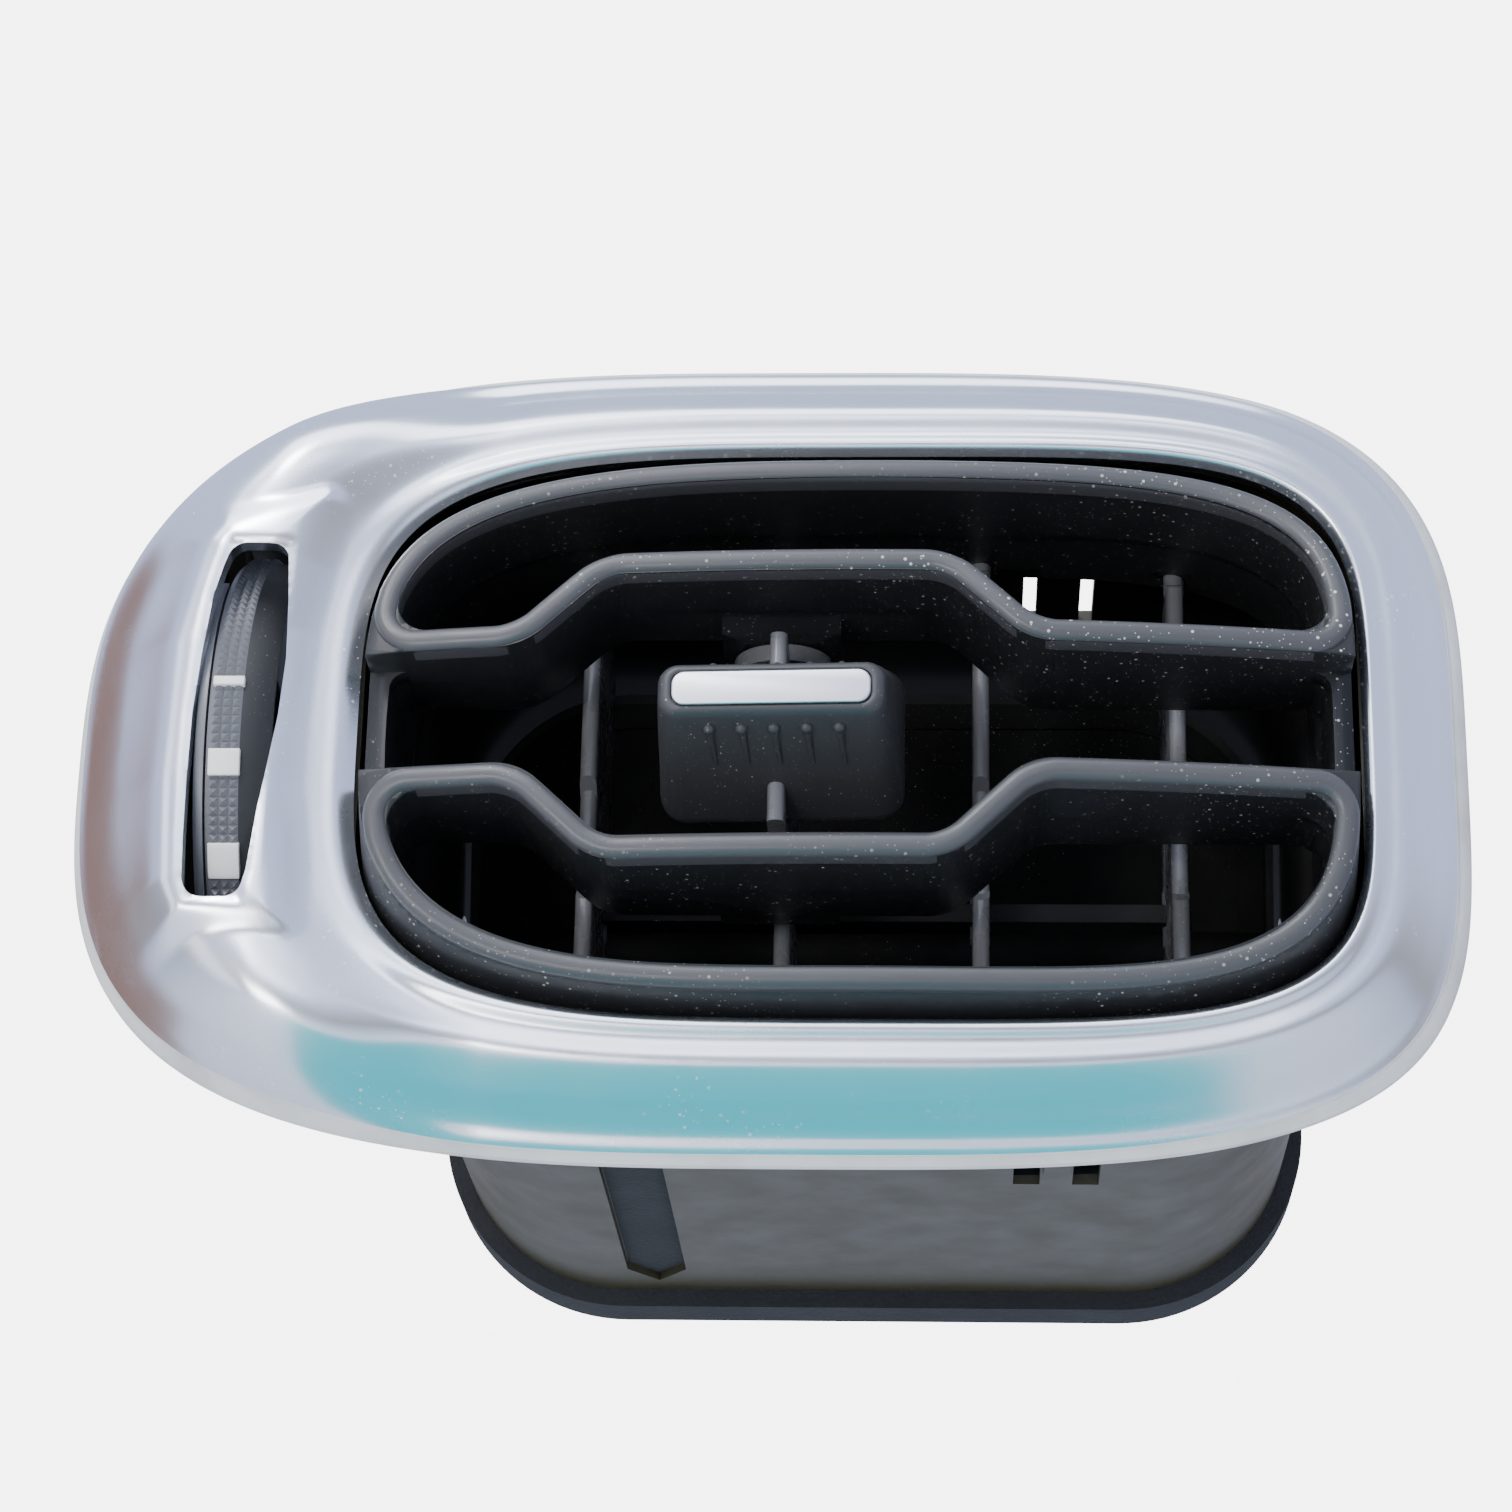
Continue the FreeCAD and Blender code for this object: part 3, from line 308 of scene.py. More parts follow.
chrome = satin_chrome("satin_chrome", (0.81, 0.84, 0.89), 0.25)
strip_silver = satin_chrome("strip_silver", (0.78, 0.79, 0.82), 0.40)
cream, stained_cream = (0.80, 0.80, 0.75), (0.62, 0.61, 0.56)
edge_cream, tree, shader = finish("uncoated_edge", cream, 0.45)
tinted(tree, shader, cream, stained_cream, between(tree, noise(tree, 90), 0.45, 0.8))
shader.inputs["Subsurface Weight"].default_value = 0.15
shader.inputs["Subsurface Radius"].default_value = (0.002, 0.002, 0.0015)
print("metal finishes:", chrome.name, strip_silver.name, edge_cream.name)


# %% Moulded plastics, rubber and steel
def moulded(name, color, roughness, grain=4200, depth=0.00002, dust=0.10,
            dust_color=(0.45, 0.42, 0.37), dust_scale=760, gather=(0.5, 0.68)):
    """Moulded plastic: fine grain, uneven gloss and dust."""
    made, tree, shader = finish(name, color, roughness)
    specks = flecks(tree, dust_scale, dust, share=gather)
    tinted(tree, shader, color, dust_color, specks)
    uneven_gloss(tree, shader, 120, 3.0, roughness - 0.06, roughness + 0.06)
    grained(tree, shader, noise(tree, grain, 2.0), depth, 0.6)
    return made


def steel(name, color, roughness):
    made, tree, shader = finish(name, color, roughness, 1.0)
    uneven_gloss(tree, shader, 400, 4.0, roughness - 0.08, roughness + 0.1)
    grained(tree, shader, noise(tree, 2600, 2.0), 0.00001, 0.5)
    return made


outline_power, outline_fade = 5.0, 0.985


def paint_shade_inside(material, outside_tone, shade_tone, reach_x, reach_z):
    """Paints shade into a tube by its own place: within a rounded outline the shade tone and a
    rougher surface stand for shade, outside it the tube keeps its own tone.
    """
    tree = material.node_tree
    shader = tree.nodes["Principled BSDF"]
    spread = tree.nodes.new("ShaderNodeSeparateXYZ")
    tree.links.new(place_on(tree), spread.inputs["Vector"])
    total = tree.nodes.new("ShaderNodeMath")
    for index, (axis, reach) in enumerate((("X", reach_x), ("Z", reach_z))):
        size = tree.nodes.new("ShaderNodeMath")
        size.operation = "ABSOLUTE"
        tree.links.new(spread.outputs[axis], size.inputs[0])
        share = between(tree, size.outputs["Value"], 0.0, reach * 2, 0.0, 2.0)
        steep = tree.nodes.new("ShaderNodeMath")
        steep.operation = "POWER"
        steep.inputs[1].default_value = outline_power
        tree.links.new(share, steep.inputs[0])
        tree.links.new(steep.outputs["Value"], total.inputs[index])
    # Within the outline the tone is painted shade.
    inside = between(tree, total.outputs["Value"], outline_fade, 1.0, 1.0, 0.0)
    tinted(tree, shader, outside_tone, shade_tone, inside)
    duller = tree.nodes.new("ShaderNodeMath")
    duller.operation = "MAXIMUM"
    tree.links.new(shader.inputs["Roughness"].links[0].from_socket, duller.inputs[0])
    tree.links.new(inside, duller.inputs[1])
    tree.links.new(duller.outputs["Value"], shader.inputs["Roughness"])


grille_black = moulded("grille_black", (0.018, 0.0185, 0.020), 0.44, dust=0.13,
                       dust_color=(0.55, 0.52, 0.44), dust_scale=620, gather=(0.36, 0.58))
lip_black = moulded("lip_black", (0.068, 0.069, 0.072), 0.36, grain=5200, depth=0.00003,
                    dust=0.15, dust_color=(0.60, 0.57, 0.48), dust_scale=620,
                    gather=(0.42, 0.60))
knob_black = moulded("knob_black", (0.042, 0.043, 0.045), 0.42, grain=6000, depth=0.00003,
                     gather=(0.44, 0.62))
vane_black = moulded("vane_black", (0.17, 0.172, 0.178), 0.28, grain=3000)
link_black = moulded("link_black", (0.007, 0.007, 0.008), 0.7)
housing_grey = moulded("housing_grey", (0.052, 0.053, 0.049), 0.46, grain=2600)
wheel_dark = moulded("wheel_dark", (0.016, 0.0165, 0.018), 0.62)
grip_grey = moulded("grip_grey", (0.165, 0.168, 0.180), 0.36, dust=0.06)
mark_cream = moulded("mark_cream", (0.88, 0.88, 0.80), 0.40, dust=0.03,
                     dust_color=(0.5, 0.48, 0.42))
# Black foam for the mouth seal; the same near-black serves as painted shade on the dark sheets past
# the wheel and in the groove.
foam_and_painted_shade = moulded("foam_and_painted_shade", (0.022, 0.022, 0.024), 0.92, grain=1500, depth=0.0003, dust=0.02)
lip_rubber = moulded("lip_rubber", (0.024, 0.024, 0.026), 0.70, dust=0.05)
# The damper flap is near-black as painted shade: it stands unlit deep in the duct.
flap_painted_shade = moulded("flap_painted_shade", (0.006, 0.006, 0.0065), 0.80)
bush_natural = moulded("bush_natural", (0.58, 0.55, 0.47), 0.45, dust=0.04)
screw_steel = steel("screw_steel", (0.56, 0.57, 0.60), 0.36)
rod_steel = steel("rod_steel", (0.50, 0.51, 0.54), 0.32)
# The housing's inside is painted near-black and rough as painted shade, where the duct lies unlit;
# outside it keeps its own olive tone.
paint_shade_inside(housing_grey, (0.044, 0.039, 0.019), (0.004, 0.004, 0.0045), 0.0580, 0.0394)
print("plastic and steel finishes ready")

# %% Put the finishes on the solids
coats = {
    "housing": housing_grey, "wheel_bracket": housing_grey, "bezel": chrome,
    "bezel_screws": screw_steel, "mouth_seal": foam_and_painted_shade, "grille": grille_black,
    "knob_body": knob_black, "knob_strip": strip_silver, "vane_link": link_black,
    "thumbwheel": wheel_dark, "wheel_grip": grip_grey, "wheel_marks": mark_cream,
    "wheel_axle": screw_steel, "damper_rod": rod_steel, "damper_crank": vane_black,
    "damper_flap": flap_painted_shade, "damper_seal": lip_rubber,
}
for name, solid in solids.items():
    coat = coats.get(name, bush_natural if "bush" in name else vane_black)
    solid.data.materials.clear()
    solid.data.materials.append(coat)
print("finished", len(solids), "solids")

# %% [markdown]
# ## The bezel
# Satin chrome shows every facet, so the bezel is modelled again with a fine mesh. Its form is a
# set of closed outlines that grow from the opening to the outer lip: a bead round the opening, a
# flat land, a long flank that falls away and a thin lip. One outline is made as a circle and
# moved into place by a formula, and each next one is an extrusion of the last. The raised frame
# of the thumbwheel's slot is blended into the same surface.

# %% Rings of points
def first_ring(bm, count, cap_ends=False):
    """A circle to start from; returns its points and its edges."""
    bmesh.ops.create_circle(bm, cap_ends=cap_ends, segments=count, radius=1.0)
    bm.verts.ensure_lookup_table()
    return list(bm.verts), list(bm.edges)


def next_ring(bm, ring, edges):
    """Extrudes a ring; returns the new points in the old order, their edges and the faces."""
    made = bmesh.ops.extrude_edge_only(bm, edges=edges)["geom"]
    partner = {}
    for vert in made:
        if isinstance(vert, bmesh.types.BMVert):
            for edge in vert.link_edges:
                partner[edge.other_vert(vert)] = vert
    ring = [partner[vert] for vert in ring]
    kept = set(ring)
    edges = [g for g in made if isinstance(g, bmesh.types.BMEdge)
             and g.verts[0] in kept and g.verts[1] in kept]
    return ring, edges, [g for g in made if isinstance(g, bmesh.types.BMFace)]


print("ring helpers ready")

# %% Outlines of the bezel
bezel_mid_x, half_height = -12.4, 52.2
reach = {"right": (86.7, 3.8), "left": (85.0, 2.9)}
opening = {"right": (60.5, 4.5), "left": (60.5, 3.7)}
opening_height = 36.5


def power(value, exponent):
    return math.copysign(abs(value) ** exponent, value)


def outline_point(angle, share):
    """A point between the opening (share 0) and the outer lip (share 1), seen from the front."""
    side = "right" if math.cos(angle) >= 0 else "left"
    (wide, n), (hole, m) = reach[side], opening[side]
    bx = bezel_mid_x + wide * power(math.cos(angle), 2 / n)
    bz = half_height * power(math.sin(angle), 2 / n)
    ax = hole * power(math.cos(angle), 2 / m)
    az = opening_height * power(math.sin(angle), 2 / m)
    return ax + (bx - ax) * share, az + (bz - az) * share


def even_angles(count, samples=20000):
    """Angles whose points lie evenly along the outline."""
    turn = [2 * math.pi * (i + 0.5) / samples for i in range(samples)]
    spots = [outline_point(a, 0.5) for a in turn]
    run = [0.0]
    for (x0, z0), (x1, z1) in zip(spots, spots[1:] + spots[:1]):
        run.append(run[-1] + math.hypot(x1 - x0, z1 - z0))
    picked, at = [], 0
    for i in range(count):
        goal = run[-1] * i / count
        while run[at + 1] < goal:
            at += 1
        picked.append(turn[at % samples])
    return picked


angles = even_angles(780)
print("outline has", len(angles), "points")


# %% Section of the bezel
def smooth_through(stations, share):
    """A smooth curve through rows of (share, depth, swell)."""
    last = len(stations) - 1
    i = 0
    while i < last - 1 and share > stations[i + 1][0]:
        i += 1
    s0, s1 = stations[i][0], stations[i + 1][0]
    t = (share - s0) / (s1 - s0)
    result = []
    for column in (1, 2):
        def slope(k):
            a, b = max(0, k - 1), min(last, k + 1)
            return (stations[b][column] - stations[a][column]) / (stations[b][0] - stations[a][0])
        p0, p1 = stations[i][column], stations[i + 1][column]
        m0, m1 = slope(i) * (s1 - s0), slope(i + 1) * (s1 - s0)
        result.append((2 * t ** 3 - 3 * t ** 2 + 1) * p0 + (t ** 3 - 2 * t ** 2 + t) * m0
                      + (3 * t ** 2 - 2 * t ** 3) * p1 + (t ** 3 - t ** 2) * m1)
    return result


front_stations = [(0.0, -18.5, 0.25), (0.045, -19.55, 0.3), (0.10, -19.8, 0.4), (0.18, -19.4, 0.8),
                  (0.39, -19.4, 1.5), (0.60, -16.8, 2.4), (0.78, -13.2, 2.5), (0.92, -12.25, 1.2),
                  (1.0, -11.1, 0.0)]


left_bend_x, left_bend = -45.9, 400.0
right_bend_x, right_bend = 48.7, 158.0
swell_x, swell_run, swell_most = -44.0, 28.0, 3.3


def roll_back(x):
    """How far the bezel's ends bend away from the middle."""
    left, right_side = max(0.0, left_bend_x - x), max(0.0, x - right_bend_x)
    return left ** 2 / left_bend + right_side ** 2 / right_bend


def swelling(x):
    """How much fuller the bezel gets towards the thumbwheel."""
    share = min(1.0, max(0.0, (swell_x - x) / swell_run))
    return swell_most * share * share * (3 - 2 * share)


pad_front, pad_slope, pad_softness, pad_blend = -23.6, 1.55, 2.6, 3.2
rim_depth, rim_width = 0.32, 1.5
pad_outline = [(-80.6, -25.4), (-67.8, -26.0), (-68.9, -16.0), (-70.1, -8.0), (-69.9, 0.0),
               (-69.2, 12.0), (-67.6, 21.0), (-65.4, 28.9), (-77.3, 26.0), (-79.6, 23.4),
               (-82.6, 10.0), (-83.2, -8.0), (-82.6, -21.0)]
slot_outline = [(-79.0, -23.3), (-72.8, -23.4), (-72.0, -20.0), (-71.2, -12.0), (-70.4, -5.9),
                (-69.6, 0.3), (-69.1, 7.7), (-69.2, 15.7), (-69.5, 22.4), (-76.2, 22.7),
                (-77.3, 19.5), (-78.3, 15.7), (-79.2, 7.7), (-79.8, 0.3), (-79.9, -8.3),
                (-79.8, -15.7), (-79.6, -21.0)]
slot_corners = (0, 1, 8, 9)


def outside(outline, x, z):
    """Distance outside a polygon; negative inside it."""
    best, inside = 1e9, False
    for (x0, z0), (x1, z1) in zip(outline, outline[1:] + outline[:1]):
        dx, dz = x1 - x0, z1 - z0
        t = max(0.0, min(1.0, ((x - x0) * dx + (z - z0) * dz) / (dx * dx + dz * dz)))
        best = min(best, math.hypot(x - x0 - t * dx, z - z0 - t * dz))
        if (z0 > z) != (z1 > z) and x < x0 + (z - z0) / (z1 - z0) * dx:
            inside = not inside
    return -best if inside else best


def lower_of(a, b, blend):
    """The smaller of two heights, with a fillet where they meet."""
    h = max(0.0, min(1.0, 0.5 + 0.5 * (b - a) / blend))
    return b + (a - b) * h - blend * h * (1 - h)


def near_pad(x, z):
    return -92.0 < x < -58.0 and abs(z) < 36.0


def bezel_front(x, z, share):
    """Depth of the bezel's front at a point, with the raised frame blended in."""
    depth, swell = smooth_through(front_stations, share)
    y = depth + roll_back(x) - swell * swelling(x)
    if near_pad(x, z):
        away = outside(pad_outline, x, z)
        wall = pad_front + pad_slope * 0.5 * (away + math.sqrt(away * away + pad_softness))
        y = lower_of(y, wall, pad_blend)
        rim = max(0.0, 1.0 - max(0.0, outside(slot_outline, x, z)) / rim_width)
        y += rim_depth * rim * rim
    return y


print("frame stands at", round(bezel_front(-75.0, 24.0, 0.6), 2), "mm")

# %% Loops of the bezel
lip_share, lip_step, wall_thickness = 0.935, 0.35, 2.2
lean_right, lean_left, lean_from = 0.080, 0.030, 0.8
front_shares = [lip_share * i / 78 for i in range(79)] + [0.938, 0.942, 0.955, 0.97, 0.985, 1.0]
cream_steps = range(len(front_shares) - 6, len(front_shares) + 2)
behind = [(1.0, -9.5, 0.0), (0.965, -9.5, 0.0), (0.90, -9.85, 1.2), (0.76, -10.8, 2.5),
          (0.58, -14.4, 2.4), (0.37, -17.0, 1.5), (0.16, -17.0, 0.8), (0.08, -17.4, 0.4),
          (0.03, -16.1, 0.25)]


def lip_moved(angle, share):
    """Moves the loops near the uncoated lip inwards at the right and outwards at the left."""
    lean = math.cos(angle)
    edge = lip_share - lean_right * max(0.0, lean) ** 2 + lean_left * max(0.0, -lean) ** 2
    if share <= lean_from:
        return share
    if share <= lip_share:
        return share + (edge - lip_share) * (share - lean_from) / (lip_share - lean_from)
    return edge + (share - lip_share) * (1 - edge) / (1 - lip_share)


def bezel_point(angle, step):
    """A point of one loop: the loops of the front come first, then those behind."""
    if step < len(front_shares):
        share = lip_moved(angle, front_shares[step])
        x, z = outline_point(angle, share)
        past_coating = front_shares[step] > lip_share + 0.005
        return x, bezel_front(x, z, share) + (lip_step if past_coating else 0.0), z
    share, depth, swell = behind[step - len(front_shares)]
    x, z = outline_point(angle, share)
    y = depth + roll_back(x) - swell * swelling(x)
    if near_pad(x, z):
        y = min(y, bezel_front(x, z, share) + wall_thickness)
    return x, y, z


print("loops of the bezel:", len(front_shares), "in front,", len(behind), "behind")

# %% Build the bezel
bm = bmesh.new()
ring, first_edges = first_ring(bm, len(angles))
edges = first_edges
for step in range(len(front_shares) + len(behind)):
    if step:
        ring, edges, faces = next_ring(bm, ring, edges)
        for face in faces:
            face.material_index = 1 if step in cream_steps else 0
    for vert, angle in zip(ring, angles):
        vert.co = Vector(bezel_point(angle, step)) * MM
bmesh.ops.bridge_loops(bm, edges=edges + first_edges)
bmesh.ops.recalc_face_normals(bm, faces=bm.faces)
for face in bm.faces:
    face.smooth = True
print("bezel has", len(bm.faces), "faces")
bezel_skin = stand("bezel_skin", bm)
bezel_skin.data.materials.append(chrome)
bezel_skin.data.materials.append(edge_cream)

# %% [markdown]
# The slot is a clean hole with round corners, so it is cut with a prism rather than modelled into
# the loops. The prism is one face, bulging like the slot, whose four corners are bevelled round
# in its own plane. It is then extruded through the skin.

# %% Cut the thumbwheel's slot
def cut_away(piece, tools, sharp):
    """Cuts each tool out of the piece for good; edges steeper than sharp stay crisp."""
    for tool in tools:
        step = piece.modifiers.new("cut", "BOOLEAN")
        step.operation, step.solver, step.object = "DIFFERENCE", "EXACT", tool
    bpy.context.view_layer.update()
    evaluated = piece.evaluated_get(bpy.context.evaluated_depsgraph_get())
    result = bpy.data.meshes.new_from_object(evaluated)
    piece.modifiers.clear()
    piece.data = result
    for tool in tools:
        bpy.data.objects.remove(tool)
    for face in result.polygons:
        face.use_smooth = True
    result.set_sharp_from_angle(angle=math.radians(sharp))


cutter_start_y, cutter_length, slot_corner_radius = -40.0, 40, 1.7
bm = bmesh.new()
corners = [bm.verts.new(Vector((x, cutter_start_y, z)) * MM) for x, z in slot_outline]
bm.faces.new(corners)
bmesh.ops.bevel(bm, geom=[corners[i] for i in slot_corners], affect="VERTICES",
                offset=slot_corner_radius * MM, segments=6, profile=0.5, material=-1)
made = bmesh.ops.extrude_face_region(bm, geom=list(bm.faces))
moved = [g for g in made["geom"] if isinstance(g, bmesh.types.BMVert)]
bmesh.ops.translate(bm, verts=moved, vec=(0, cutter_length * MM, 0))
bmesh.ops.recalc_face_normals(bm, faces=bm.faces)
cut_away(bezel_skin, [stand("slot_cutter", bm)], 40)
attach(bezel_skin, "housing")
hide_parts("bezel")
print("bezel after the cut:", len(bezel_skin.data.polygons), "faces")

# %% [markdown]
# ## The lips of the grille
# The real grille has two closed loops whose front edges are fully rounded, like a bead, and that
# is what catches the light. The solid has the loops with sharp edges. Each bead is laid over such
# an edge: its path is a flat polygon along the ring and the S-shaped vane whose corners are
# bevelled round, and its section is extruded along that path loop by loop. The front edges of the
# solid stay inside the bead.

# %% Path of a lip
ring_half_width, ring_half_height, ring_band = 59.3, 33.9, 2.4
ring_n_right, ring_n_left = 4.2, 3.4
dome_front, dome_fall, dome_power, dome_bend = -29.2, 7.4, 2.7, 688.0


def ring_point(angle, inward):
    """A point of the grille's ring, a little inwards of its outer edge."""
    n = ring_n_right if math.cos(angle) >= 0 else ring_n_left
    return ((ring_half_width - inward) * power(math.cos(angle), 2 / n),
            (ring_half_height - inward) * power(math.sin(angle), 2 / n))


def dome(x, z):
    """Depth of the grille's bulging front."""
    fall = min(1.2, abs(z) / ring_half_height) ** dome_power
    return dome_front + dome_fall * fall + x * x / dome_bend


def lip_path(side):
    """The closed centre line of the upper (1) or lower (-1) lip, as (x, z) points in order."""
    flat_z, bulge_z, bend_radius = 8.85, 18.25, 2.9
    thin_spacing, dense_spacing, ring_from = 1.2, 1.3, flat_z + 6.0
    ring = [ring_point(2 * math.pi * i / 1440, ring_band / 2) for i in range(720)]
    ring = [p for p in ring if p[1] > ring_from]
    thinned = [ring[0]]
    for p in ring[1:]:
        if math.hypot(p[0] - thinned[-1][0], p[1] - thinned[-1][1]) > thin_spacing:
            thinned.append(p)
    level = flat_z / (ring_half_height - ring_band / 2)
    mid_width = ring_half_width - ring_band / 2
    right_x = mid_width * (1 - level ** ring_n_right) ** (1 / ring_n_right)
    left_x = -mid_width * (1 - level ** ring_n_left) ** (1 / ring_n_left)
    corners = [(left_x, flat_z, 5.2), (-40.5, flat_z, bend_radius), (-30.5, bulge_z, bend_radius),
               (11.0, bulge_z, bend_radius), (21.0, flat_z, bend_radius), (right_x, flat_z, 4.2)]
    bm = bmesh.new()
    arc = [bm.verts.new((x, 0, z)) for x, z in thinned]
    sharp = [bm.verts.new((x, 0, z)) for x, z, _ in corners]
    bm.faces.new(arc + sharp)
    for vert, (_, _, cut) in zip(sharp, corners):
        bmesh.ops.bevel(bm, geom=[vert], affect="VERTICES", offset=cut, segments=9, profile=0.5,
                        material=-1)
    bm.faces.ensure_lookup_table()
    path = [(v.co.x, side * v.co.z) for v in bm.faces[0].verts]
    bm.free()
    dense = []
    for (x0, z0), (x1, z1) in zip(path, path[1:] + path[:1]):
        parts = max(1, round(math.hypot(x1 - x0, z1 - z0) / dense_spacing))
        dense += [(x0 + (x1 - x0) * k / parts, z0 + (z1 - z0) * k / parts)
                  for k in range(parts)]
    return dense


print("upper lip follows", len(lip_path(1)), "points")


# %% Sweep a section along a closed path
def swept(name, path, section, depth_at, material, body):
    """A closed tube along a path; its section is a closed list of (sideways, deeper) in mm."""
    bm = bmesh.new()
    ring, start_edges = first_ring(bm, len(path))
    edges = start_edges
    aside = []
    for i in range(len(path)):
        (x0, z0), (x1, z1) = path[i - 1], path[(i + 1) % len(path)]
        length = math.hypot(x1 - x0, z1 - z0)
        aside.append(((z1 - z0) / length, -(x1 - x0) / length))
    for step, (sideways, deeper) in enumerate(section):
        if step:
            ring, edges, _ = next_ring(bm, ring, edges)
        for vert, (x, z), (nx, nz) in zip(ring, path, aside):
            px, pz = x + nx * sideways, z + nz * sideways
            vert.co = Vector((px, depth_at(x, z) + deeper, pz)) * MM
    bmesh.ops.bridge_loops(bm, edges=edges + start_edges)
    bmesh.ops.recalc_face_normals(bm, faces=bm.faces)
    for face in bm.faces:
        face.smooth = True
    piece = stand(name, bm)
    piece.data.materials.append(material)
    piece.data.set_sharp_from_angle(angle=math.radians(50))
    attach(piece, body)
    print(name, "has", len(piece.data.polygons), "faces")


def bead_section(half_width, rounding, lift, depth, steps=5):
    """A plate's front with both edges rounded; lift moves it ahead of the solid's face."""
    points = [(-half_width, depth)]
    for i in range(steps + 1):
        a = math.pi / 2 * i / steps
        points.append((-half_width + rounding * (1 - math.cos(a)),
                       rounding * (1 - math.sin(a)) - lift))
    for i in range(steps, -1, -1):
        a = math.pi / 2 * i / steps
        points.append((half_width - rounding * (1 - math.cos(a)),
                       rounding * (1 - math.sin(a)) - lift))
    points.append((half_width, depth))
    return points


# %% Lay both lips
lip = bead_section(1.45, 1.15, 0.75, 2.6)
for side, name in ((1, "grille_lip_upper"), (-1, "grille_lip_lower")):
    swept(name, lip_path(side), lip, dome, lip_black, "grille")

# %% [markdown]
# ## Recesses at the ends of the middle gap
# Between the two lips the ring steps back at both ends. A copy of the ring's solid is merged, and
# a cushion-shaped block is cut out of it on each side. The block's edges are bevelled first, so
# the step gets hollow corners.

# %% Cut the recesses
def merged_copy(name, node):
    """A copy of a solid's mesh with its loose triangles joined."""
    bm = bmesh.new()
    bm.from_mesh(solids[node].data)
    bmesh.ops.remove_doubles(bm, verts=bm.verts, dist=0.000001)
    return stand(name, bm)


def soft_block(name, low, high, radius, segments=6):
    """A box between two corners in mm, with all its edges rounded."""
    bm = bmesh.new()
    bmesh.ops.create_cube(bm, size=1.0)
    size = Vector(high) - Vector(low)
    bmesh.ops.scale(bm, verts=bm.verts, vec=size * MM)
    bmesh.ops.translate(bm, verts=bm.verts, vec=(Vector(high) + Vector(low)) * 0.5 * MM)
    bmesh.ops.bevel(bm, geom=list(bm.edges), affect="EDGES", offset=radius * MM,
                    segments=segments, profile=0.5, material=-1)
    return stand(name, bm)


recess_near_x, recess_far_x, recess_half_height = 49, 64, 7.3
recess_front_y, recess_back_y, recess_radius = -45, -20.9, 2.6
grille_skin = merged_copy("grille_skin", "grille")
recesses = []
for low_x, high_x in ((recess_near_x, recess_far_x), (-recess_far_x, -recess_near_x)):
    recesses.append(soft_block("recess", (low_x, recess_front_y, -recess_half_height),
                               (high_x, recess_back_y, recess_half_height), recess_radius))
cut_away(grille_skin, recesses, 32)
grille_skin.data.materials.clear()
grille_skin.data.materials.append(grille_black)
flatter = grille_skin.modifiers.new("flatter", "WEIGHTED_NORMAL")
flatter.keep_sharp = True
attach(grille_skin, "grille")
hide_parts("grille")
print("grille ring after the cuts:", len(grille_skin.data.polygons), "faces")

# %% [markdown]
# ## The thumbwheel's grip
# The real tread has a plain band at the left, three columns of fine pyramids and a shoulder that
# falls away at the right. The shoulder takes the wheel's darker plastic as painted shade, since it
# lies in shade in the slot. The section is extruded from a circle, and each square of the three
# columns is poked outwards: that lifts its middle to a point and gives all the pyramids in one
# step.

# %% Grip with pyramids
wheel_y, wheel_segments = 8.5, 176
pyramid_height = 0.62
tread = [(-77.1, 29.6), (-78.0, 29.9), (-78.1, 30.5), (-78.0, 31.0), (-77.7, 31.25),
         (-77.45, 31.35), (-76.27, 31.35), (-75.09, 31.35), (-73.91, 31.35), (-73.6, 31.3),
         (-72.4, 30.95), (-71.2, 30.3), (-70.4, 29.5), (-70.4, 29.0), (-71.7, 29.6)]
pyramid_columns = (6, 7, 8)
# Steps of the shoulder, which take the darker plastic as painted shade.
shoulder_shade_steps = range(9, 15)


def on_wheel(x, radius, turn):
    """A place at a radius and an angle about the wheel's axle."""
    return Vector((x, wheel_y + radius * math.cos(turn), radius * math.sin(turn))) * MM


def turned(bm, profile, segments):
    """Turns a closed section of (x, radius) into a ring about the axle; returns faces by step."""
    ring, start_edges = first_ring(bm, segments)
    edges, by_step = list(start_edges), {}
    for step, (x, radius) in enumerate(profile):
        if step:
            ring, edges, by_step[step] = next_ring(bm, ring, edges)
        for index, vert in enumerate(ring):
            vert.co = on_wheel(x, radius, 2 * math.pi * index / segments)
    bmesh.ops.bridge_loops(bm, edges=edges + start_edges)
    bmesh.ops.recalc_face_normals(bm, faces=bm.faces)
    return by_step


def settle(bm, name, material, body, replaced=None, angle=40):
    for face in bm.faces:
        face.smooth = True
    piece = stand(name, bm)
    piece.data.materials.append(material)
    piece.data.set_sharp_from_angle(angle=math.radians(angle))
    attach(piece, body)
    if replaced:
        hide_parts(replaced)
    print(name, "has", len(piece.data.polygons), "faces")
    return piece


bm = bmesh.new()
by_step = turned(bm, tread, wheel_segments)
studs = [face for step in pyramid_columns for face in by_step[step]]
bmesh.ops.poke(bm, faces=studs, offset=pyramid_height * MM)
# The shoulder's faces take the wheel's darker plastic as painted shade.
for step in shoulder_shade_steps:
    for face in by_step[step]:
        face.material_index = 1
grip = settle(bm, "grip_studs", grip_grey, "thumbwheel", "wheel_grip", 25)
grip.data.materials.append(wheel_dark)

